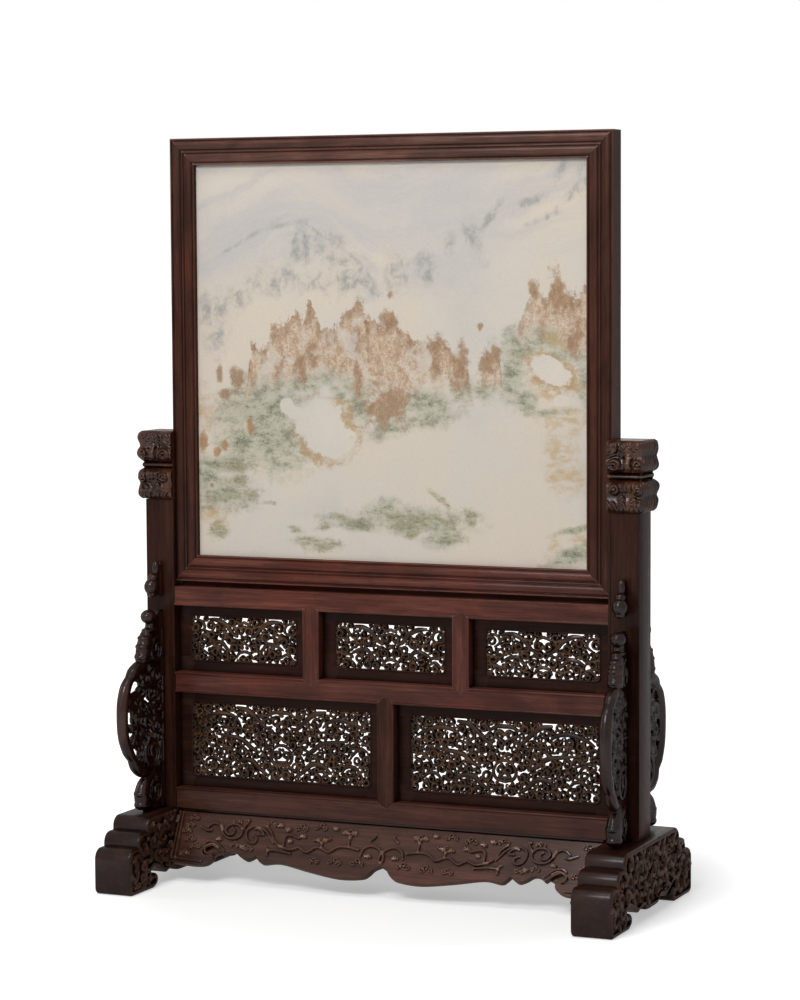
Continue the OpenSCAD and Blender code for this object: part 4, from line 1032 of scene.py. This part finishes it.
# post caps: two carved tiers and a bead, worked as a height map round three sides of the post
capSetup = {
    "inner": 223.4, "outer": 259.4, "front": 21.0, "low": 372.5, "tier": 30.4, "beadHigh": 5.2, "corner": 3.6,
    "grooveDeep": 3.0, "grooveHalf": 11.6, "step": 0.55,
    # outward offset up each tier, as (share of its height, millimetres)
    "upper": [(0, -6.4), (0.03, -4.6), (0.08, -2.4), (0.15, -0.4), (0.24, 0.6), (0.33, 0.5), (0.42, -0.4),
              (0.52, -1.7), (0.62, -1.0), (0.72, -0.1), (0.82, 0.1), (0.91, -0.5), (0.97, -1.9), (1, -3.6)],
    "bead": [(0, -6.4), (0.12, -4.7), (0.3, -3.6), (0.5, -3.2), (0.7, -3.6), (0.88, -4.7), (1, -6.4)],
    "lower": [(0, -4.8), (0.04, -2.8), (0.1, -1.0), (0.18, 0), (0.28, 0.1), (0.38, -0.6), (0.48, -1.7), (0.57, -0.7),
              (0.66, 0.4), (0.76, 0.7), (0.85, -0.2), (0.92, -2.2), (0.97, -4.6), (1, -6.4)],
    # strokes on a face: points from the groove side and from the tier's foot, height, half width
    "upperMarks": [
        ([(2, 8), (4, 11.5), (8, 12.6), (12, 11), (13, 8)], 1.5, 1.3), ([(2.6, 5.5), (6, 3.6), (10, 4.4)], 1.3, 1.1),
        ([(5.5, 9), (8, 9.4), (9, 7.4), (7, 6.4)], 1.0, 1.0),
        ([(26.6, 8), (28, 11.6), (31, 11.8), (33, 9)], 1.4, 1.2), ([(27, 5.4), (30, 4.4), (32.4, 5.6)], 1.2, 1.0),
        ([(29.6, 8.6), (31, 8.2)], 1.0, 1.2), ([(1, 15), (4, 16.4), (8, 17.6)], 1.1, 1.2),
        ([(1, 18), (6, 19), (9.5, 22), (9.2, 29)], 1.4, 1.2),
        ([(13, 14.5), (15, 16.6), (14, 18.4), (12.4, 17)], 1.2, 1.1),
        ([(24, 15), (26, 17), (27.6, 15.6), (26.4, 14)], 1.2, 1.1), ([(2, 25), (4, 27.5), (6, 25)], 1.2, 1.1),
        ([(12, 22), (14.5, 27), (17, 23.5), (20, 27.4), (23, 23.6), (26.5, 27.4), (29.2, 23.8), (32, 26.6)],
         1.2, 0.9),
        ([(20, 3), (20.4, 10), (20, 15)], 1.0, 3.0), ([(16.6, 3), (16.8, 14)], -0.9, 0.9),
        ([(24, 3), (23.8, 13)], -0.9, 0.9), ([(7, 7.6), (7.4, 7.6)], -1.0, 1.1),
    ],
    "lowerMarks": [
        ([(4, 20), (5, 24), (8.5, 25.4), (11.5, 22.6), (10.5, 19), (7.4, 18.2)], 1.4, 1.2),
        ([(7, 21.6), (8.4, 21.4)], 1.1, 1.3),
        ([(27.4, 19), (28.4, 23), (31, 24), (33, 21), (32.2, 17.6), (29.4, 17)], 1.3, 1.1),
        ([(30.2, 20.4), (31, 20.2)], 1.0, 1.3),
        ([(14.4, 20), (14.6, 27)], 1.3, 1.1), ([(19, 20.5), (19, 28)], 1.4, 1.3),
        ([(23.2, 20), (23.4, 27)], 1.3, 1.1), ([(28, 25), (30.4, 26.6)], 1.2, 1.2),
        ([(12.6, 13), (14.4, 15.8), (16.4, 14)], 1.3, 1.1), ([(24.6, 11), (26.4, 13.6), (28.4, 12)], 1.3, 1.1),
        ([(13.6, 8), (15.6, 10), (17.4, 8)], 1.2, 1.2), ([(27, 7), (29.2, 8.8), (31, 7)], 1.2, 1.2),
        ([(1, 10), (3.6, 7), (6.4, 3)], 1.3, 1.2), ([(7, 9), (9, 5), (9.6, 1.5)], 1.2, 1.1),
        ([(13, 5.6), (13.6, 1.5)], 1.2, 1.2), ([(18, 6), (18, 1.5)], 1.1, 1.2), ([(23, 7), (23.4, 1.5)], 1.2, 1.2),
        ([(28, 4.6), (28.4, 1.4)], 1.1, 1.1), ([(32, 12), (32.4, 3)], 1.2, 1.2), ([(20.4, 6), (20.6, 18)], -1.0, 1.0),
    ],
    # low domes under the strokes: place, height, radius
    "upperDomes": [((8, 8.2), 1.0, 6.4), ((30, 8.4), 0.9, 5.0), ((20, 9), 0.6, 5.0), ((6, 24), 0.9, 5.6),
                   ((17, 24), 0.8, 5.2), ((27, 24.5), 0.8, 5.2)],
    "lowerDomes": [((8, 21.5), 1.0, 5.8), ((30, 20.5), 0.9, 5.0), ((19, 24), 0.8, 5.4), ((14.5, 12.5), 0.9, 4.4),
                   ((26, 11), 0.9, 4.4), ((6, 6), 0.9, 5.2), ((17, 4.6), 0.7, 4.6), ((28, 5), 0.7, 4.6)],
    # wavy ribs on the outer flank: waves as (length, start, height)
    "ribs": 6, "ribHigh": 1.9, "ribMean": 0.55, "ribFrom": 0.4, "ribEdge": 30, "sway": 0.5,
    "waves": [(3.1, 0, 0.25), (7.3, 1, 0.3)], "uneven": 0.25, "unevenWave": (2.3, 17),
    "plainBand": 0.7, "cut": 1.7, "swell": 1.1, "fade": 1.2, "fadeOut": -2.6,
}


def capLevels(setup):
    tier, bead = setup["tier"], setup["beadHigh"]
    rows = ((setup["lower"], 0, tier), (setup["bead"], tier, bead), (setup["upper"], tier + bead, tier))
    levels = [(start + share * high, out) for row, start, high in rows for share, out in row[:-1]]
    return smoothPath(levels + [(2 * tier + bead, setup["upper"][-1][1])])


def buildCap(nodeName, side, setup):
    wide, deep, corner, step = setup["outer"] - setup["inner"], setup["front"], setup["corner"], setup["step"]
    turn = corner * math.pi / 2
    face, flank = wide - corner, 2 * (deep - corner)
    total = 2 * face + 2 * turn + flank
    along = np.linspace(0, total, int(total / step))
    upperFoot = setup["tier"] + setup["beadHigh"]
    high = 2 * setup["tier"] + setup["beadHigh"]
    up = np.linspace(0, high, int(high / step))

    def spotAt(t):
        # place on the plan and outward direction
        if t < face:
            return (t, -deep), (0, -1)
        if t < face + turn:
            a = (t - face) / corner
            return (face + corner * math.sin(a), -deep + corner - corner * math.cos(a)), (math.sin(a), -math.cos(a))
        if t < face + turn + flank:
            return (wide, -deep + corner + t - face - turn), (1, 0)
        if t < face + 2 * turn + flank:
            a = (t - face - turn - flank) / corner
            return (face + corner * math.cos(a), deep - corner + corner * math.sin(a)), (math.cos(a), math.sin(a))
        return (total - t, deep), (0, 1)

    spots, faces = (np.array(v) for v in zip(*(spotAt(t) for t in along)))
    gridT, gridZ = np.meshgrid(along, up)
    carve = np.zeros_like(gridT)
    tiers = (("lower", 0), ("upper", upperFoot))
    for tier, base in tiers:
        for points, height, half in setup[tier + "Marks"]:
            for u, v in smoothPath(points, 6):
                for t in (u, total - u):
                    near = np.hypot(gridT - t, gridZ - base - v) / (half * setup["swell"])
                    bump = height * np.sqrt(np.clip(1 - near ** 2, 0, None))
                    if height > 0:
                        carve = np.maximum(carve, bump)
                    else:
                        carve = np.where(near < 1, np.minimum(carve, bump), carve)
    for tier, base in tiers:
        for (u, v), height, reach in setup[tier + "Domes"]:
            for t in (u, total - u):
                near = np.hypot(gridT - t, gridZ - base - v) / reach
                carve = carve + height * np.clip(1 - near ** 2, 0, None)
    share = np.clip((gridT - face - turn * setup["ribFrom"]) / (flank + turn * (2 - 2 * setup["ribFrom"])), 0, 1)
    onFlank = np.clip(np.minimum(share, 1 - share) * setup["ribEdge"], 0, 1)
    wave = sum(np.sin(gridZ / length + start) * height for length, start, height in setup["waves"])
    ribs = np.abs(np.sin(math.pi * (share * setup["ribs"] + wave * setup["sway"])))
    length, turns = setup["unevenWave"]
    uneven = 1 - setup["uneven"] + setup["uneven"] * np.sin(gridZ / length + share * turns)
    carve = carve + onFlank * setup["ribHigh"] * uneven * (ribs - setup["ribMean"])
    carve[np.abs(gridZ - setup["tier"] - setup["beadHigh"] / 2) < setup["beadHigh"] * setup["plainBand"]] = 0
    # ease the cuts once with their neighbours
    spread = np.pad(carve, 1, mode="edge")
    carve = carve / 2 + (spread[2:, 1:-1] + spread[:-2, 1:-1] + spread[1:-1, 2:] + spread[1:-1, :-2]) / 8
    out = np.interp(up, *capLevels(setup).T)[:, None] + carve * setup["cut"]
    fade = np.clip(np.minimum(gridZ, high - gridZ) / setup["fade"], 0, 1)
    out = np.where(fade < 1, out * fade + (1 - fade) * out.clip(None, setup["fadeOut"]), out)
    groove, grooveHalf = setup["grooveDeep"], setup["grooveHalf"]
    notch = [(0, grooveHalf), (groove, grooveHalf), (groove, -grooveHalf), (0, -grooveHalf)]
    shape = bmesh.new()
    rings = []
    for row, z in zip(out, up):
        plan = np.vstack([spots + faces * row[:, None], notch])
        rings.append([shape.verts.new((side * (setup["inner"] + x) * mm, y * mm, (setup["low"] + z) * mm))
                      for x, y in plan])
    for one, two in zip(rings, rings[1:]):
        bridge(shape, one, two)
    for end in (rings[0], rings[-1]):
        shape.faces.new(end)
    settle(joined(nodeName + "_cap", [newMesh("cap", shape)], capZ, 50), "stand", "carved_rosewood")
    print(nodeName, "cap carved")


buildCap("left_post", -1, capSetup)
buildCap("right_post", 1, capSetup)

# aprons: strokes on the left half of the front, (across, down the slope) in millimetres
apronSetup = {
    "top": (0, -11.0, 70.0), "lean": 28.5, "reach": 222.1, "drop": 56.0, "relief": 1.45, "half": 1.5, "ground": 0.6,
    # the board hangs from a tongue, so a dark line shows under the rail
    "setBack": 2.2, "lower": 4.4, "longer": 0.967, "wider": 1.011, "rounding": 0.6,
    "tongue": (-8, 1.5), "tongueLevels": (-8, -4), "plateLevels": (-8, -5),
    # scrolls of a cloud: across, up, reach and hand; twigs of a sprig
    "puffs": [(-1.45, -0.3, 0.8, -1), (0, 0.35, 1.0, 1), (1.45, -0.25, 0.78, 1)], "puffStart": (3.6, 5.8),
    "puffHalf": 0.95, "puffTurns": 0.95, "twigs": 5, "twigTurn": 1.26, "twigSway": 0.3, "twigSpread": (1.25, 0.8),
    "twigLong": (1.6, 3.0), "twigKnob": (1.4, 1.9), "twigOut": (-0.2, 0.3), "lineOut": 0.7, "shadeTilt": 0.75,
    "stems": [
        [(-195.8, 19.2), (-187, 22.6), (-182.8, 21.7)],
        [(-187.8, 19.4), (-183.8, 15.8), (-178.4, 14.9), (-172.9, 18.3), (-170.9, 21.8)],
        [(-173.7, 14.6), (-170.9, 23.3), (-164.2, 28.4), (-156.1, 28.6), (-150.7, 24.8), (-150.5, 18.8),
         (-156.2, 14.8), (-164, 15.4), (-168.1, 20.1), (-165, 24.8), (-160.2, 24.8), (-158.4, 20.9), (-161.7, 18.2)],
        [(-150.5, 18.8), (-148.6, 16.5), (-144.7, 9.4), (-148.4, 10.5)],
        [(-114.8, 30.2), (-122.3, 21.2), (-129.7, 16.5), (-138.6, 15.4), (-144.5, 19.1), (-144.8, 25.1), (-141, 30.8),
         (-134.9, 31.5), (-133.3, 26.9), (-138.3, 23.9)],
        [(-137.3, 17.8), (-132.8, 16.8), (-126.5, 22.2), (-133, 22.7)],
        [(-125.5, 14), (-119.2, 19.5), (-115.3, 26.6), (-108.5, 32.4), (-104.1, 32.4), (-103.9, 25), (-101.6, 21.4),
         (-95.6, 21.4), (-89.8, 23.3), (-87, 21.9)],
        [(-120.1, 38), (-110.9, 37.3), (-102.9, 38.2), (-94.5, 39.3)], [(-122.6, 33.8), (-119.5, 37.2), (-119, 43.1)],
        [(-108.5, 32.4), (-98, 35.5), (-92, 34.5), (-87, 32.5), (-78.3, 36.6), (-70.1, 31.5), (-63.9, 31.5),
         (-55.5, 34.8), (-48.8, 30.3), (-43, 28.4), (-35.3, 28.5), (-24.2, 30.3)],
        [(-63.6, 31.5), (-63.7, 25.6), (-61.4, 22.9)], [(-63.7, 27), (-68, 24), (-72.9, 24.4)],
        [(-61.4, 22.9), (-57, 22.5), (-55.4, 21)], [(-35.9, 28), (-36.8, 16.9), (-41, 14), (-43.9, 15.4)],
        [(-36.5, 20), (-33, 15), (-29.3, 13.4)],
        [(-22.1, 36.6), (-19.9, 29.1), (-13, 25.4), (-5.1, 27.1), (0.5, 31.9), (2.2, 38.7), (-0.5, 41.8)],
        [(-14.8, 20.4), (-11, 17.5), (-9.3, 14.1)],
        [(-187.1, 35.8), (-182.9, 33.2), (-175.5, 34.1), (-168.9, 38.8), (-164.9, 42.2)],
    ],
    "clouds": [(-204.5, 10, 2.6), (-207, 17.6, 2.2), (-210, 23.5, 2.4), (-204, 31.5, 2.6), (-197, 38.5, 2.6),
               (-207, 46.5, 2.4), (-157.5, 11, 2.2), (-120.5, 11, 2.6), (-88, 12.5, 3.0), (-67.5, 10.5, 2.8),
               (-36.8, 13.5, 3.0), (-69, 44, 2.6), (-47, 43.5, 3.0), (-24, 42.5, 3.0), (-155.5, 34.6, 2.2),
               (-140, 37.4, 2.2), (-64.5, 22.4, 2.4)],
    "sprays": [(-84.5, 21), (-97, 27), (-52, 11), (-172.5, 30.2), (-146.5, 36.4), (-13.9, 35.6), (-101.5, 15.9),
               (-110.2, 12.1)],
    "lines": [([(-220.6, 5), (-219.6, 53.2)], 1.2), ([(-217.2, 6), (-215.8, 52.4)], 1.3),
              ([(-216, 52.8), (-200, 53.6), (-187, 54)], 1.2)],
    # raised edge of the curled cut, in hundredths of the half length and of the drop
    "edge": [[(77.5, 66), (80.4, 59.8), (83.3, 64.3), (84.2, 71.4), (82.6, 78), (79.9, 74.3)]],
    "edgeHalf": 1.2, "edgeIn": 1.6, "edgeOut": -0.4, "shadeFrom": 62, "seed": 8,
    # plate behind the curled cut near each end
    "plate": [(-189, 31), (-171, 30), (-166.5, 38), (-172, 39.5), (-178, 43), (-189, 43)],
}


def turnRound(mesh):
    return lay(mesh, (0, 0, 0), (-1, 0, 0), (0, -1, 0), (0, 0, 1))


def buildApron(nodeName, turned, setup):
    rng = np.random.default_rng(setup["seed"])
    half, ground, reach = setup["half"], setup["ground"], setup["reach"]
    strands = []
    for points in setup["stems"]:
        widths = [half * 0.75] + [half] * (max(3, len(points)) - 2) + [half * 0.95]
        strands.append(strand([(x, -d) for x, d in points], widths, ground, 5))
    for x, d in setup["sprays"]:
        start = rng.uniform(0, 2 * math.pi)
        root = np.array([x, -d])
        spreadX, spreadUp = setup["twigSpread"]
        for k in range(setup["twigs"]):
            angle = start + k * setup["twigTurn"] + rng.uniform(-setup["twigSway"], setup["twigSway"])
            away = np.array([spreadX * math.cos(angle), spreadUp * math.sin(angle)]) * rng.uniform(*setup["twigLong"])
            widths = [1.0, 1.3, rng.uniform(*setup["twigKnob"])]
            strands.append(strand([root, root + away * 0.5, root + away], widths,
                                  ground + rng.uniform(*setup["twigOut"])))
    for x, d, size in setup["clouds"]:
        for away, rise, share, hand in setup["puffs"]:
            strands.append(curl((x + away * size, rise * size - d), share * size, rng.uniform(*setup["puffStart"]),
                                hand, setup["puffHalf"], setup["puffTurns"], ground))
    for points, wide in setup["lines"]:
        strands.append(strand([(x, -d) for x, d in points], [wide, wide], setup["lineOut"], 4))
    for points in setup["edge"]:
        path = [(-x / 100 * reach, -setup["lower"] - (d / 100 * setup["drop"] - setup["edgeIn"]) * setup["longer"])
                for x, d in points]
        strands.append(strand(path, [setup["edgeHalf"]] * 2, setup["edgeOut"], 6))
    strands += [mirrored(rows) for rows in strands]
    lean = math.radians(setup["lean"])
    up, out = np.array([0, math.sin(lean), math.cos(lean)]), np.array([0, -math.cos(lean), math.sin(lean)])
    top = np.array(setup["top"])
    seat = top + (0, setup["setBack"], 0)
    tongueReach = reach * setup["wider"]
    tongue = [(end * tongueReach, level) for end, level in zip((-1, 1, 1, -1), np.repeat(setup["tongue"], 2))]
    flat = [slab(tongue, *setup["tongueLevels"]), sweep(strands, setup["relief"], apronX)]
    flat += [slab([(hand * x, -d - setup["lower"]) for x, d in setup["plate"]], *setup["plateLevels"])
             for hand in (-1, 1)]
    for part in flat:
        lay(part, seat, (1, 0, 0), up, out)
    board = softCopy(nodeName, setup["rounding"], apronX)
    body = board.data.copy()
    bpy.data.objects.remove(board)
    if turned:
        turnRound(body)
    lay(body, -top, (setup["wider"], 0, 0), (0, 1, 0), (0, 0, 1))
    lay(body, seat - up * setup["lower"], *(np.eye(3) + (setup["longer"] - 1) * np.outer(up, up)))
    parts = [body] + flat
    if turned:
        for part in parts:
            turnRound(part)
    apron = joined(nodeName + "_carving", parts, apronX, 35)
    # painted shade: the apron's top faces under the rail take the dark board wood
    apron.data.materials.append(shadedBoardX)
    for face in apron.data.polygons:
        if face.normal.z > setup["shadeTilt"] and face.center.z > setup["shadeFrom"] * mm:
            face.material_index = 1
    settle(apron, "stand", "carved_rosewood", nodeName)
    print(nodeName, "carved with", len(strands), "strands")


buildApron("front_apron", False, apronSetup)
buildApron("back_apron", True, apronSetup)

# floor, lamps and surroundings
stageSetup = {
    "floorReach": 30.0, "paper": 0.8, "world": 0.16, "aim": (0, 0, 0.35),
    "glow": (0.2, 0.48, 0.39, 1.0),  # floor seen by the camera: near and far reach, level at each
    "lamps": [
        {"name": "keyLamp", "place": (-0.02, -1.65, 1.6), "size": (0.9, 0.58), "power": 24},
        {"name": "topLamp", "place": (0.1, -0.8, 2.2), "size": (1.1, 0.6), "power": 9},
        {"name": "frontLamp", "place": (-0.4, -3.0, 1.2), "size": (2.4, 1.8), "power": 9},
        {"name": "leftLamp", "place": (-2.4, -0.6, 1.2), "size": (0.4, 1.2), "power": 7},
        {"name": "backLamp", "place": (-0.5, 2.6, 1.5), "size": (1.6, 1.2), "power": 8},
    ],
}


def seenDirectly(bench):
    # 1 for what the camera sees itself, in gloss or through glass
    path = bench.put("ShaderNodeLightPath").outputs
    return bench.math("MAXIMUM", path["Is Camera Ray"],
                      bench.math("MAXIMUM", path["Is Glossy Ray"], path["Is Transmission Ray"]))


def buildStage(setup):
    reach, white = setup["floorReach"], (1, 1, 1, 1)
    mesh = bpy.data.meshes.new("paleFloor")
    mesh.from_pydata([(-reach, -reach, 0), (reach, -reach, 0), (reach, reach, 0), (-reach, reach, 0)], [],
                     [(0, 1, 2, 3)])
    floor = addObject("paleFloor", mesh)
    material, bench = newMaterial("palePaper")
    place = bench.put("ShaderNodeTexCoord").outputs["Object"]
    away = bench.put("ShaderNodeVectorMath", {0: place}, operation="LENGTH").outputs["Value"]
    paper = bench.put("ShaderNodeBsdfDiffuse", {"Color": (setup["paper"],) * 3 + (1,)})
    lift = bench.math("MULTIPLY", bench.band(away, *setup["glow"]), seenDirectly(bench))
    glow = bench.put("ShaderNodeEmission", {"Color": white, "Strength": lift})
    both = bench.put("ShaderNodeAddShader", {0: paper.outputs[0], 1: glow.outputs[0]})
    bench.put("ShaderNodeOutputMaterial", {"Surface": both.outputs[0]})
    mesh.materials.append(material)

    scene.world = bpy.data.worlds.new("whiteRoom")
    scene.world.use_nodes = True
    scene.world.node_tree.nodes.clear()
    bench = Bench(scene.world.node_tree)
    level = bench.math("MULTIPLY_ADD", seenDirectly(bench), 1 - setup["world"])
    level.node.inputs[2].default_value = setup["world"]
    sky = bench.put("ShaderNodeBackground", {"Color": white, "Strength": level})
    bench.put("ShaderNodeOutputWorld", {"Surface": sky.outputs[0]})

    for lamp in setup["lamps"]:
        data = bpy.data.lights.new(lamp["name"], "AREA")
        data.shape = "RECTANGLE"
        data.size, data.size_y = lamp["size"]
        data.energy = lamp["power"]
        light = addObject(lamp["name"], data)
        light.location = lamp["place"]
        light.rotation_euler = (Vector(setup["aim"]) - light.location).to_track_quat("-Z", "Y").to_euler()


buildStage(stageSetup)
print("stage lit")
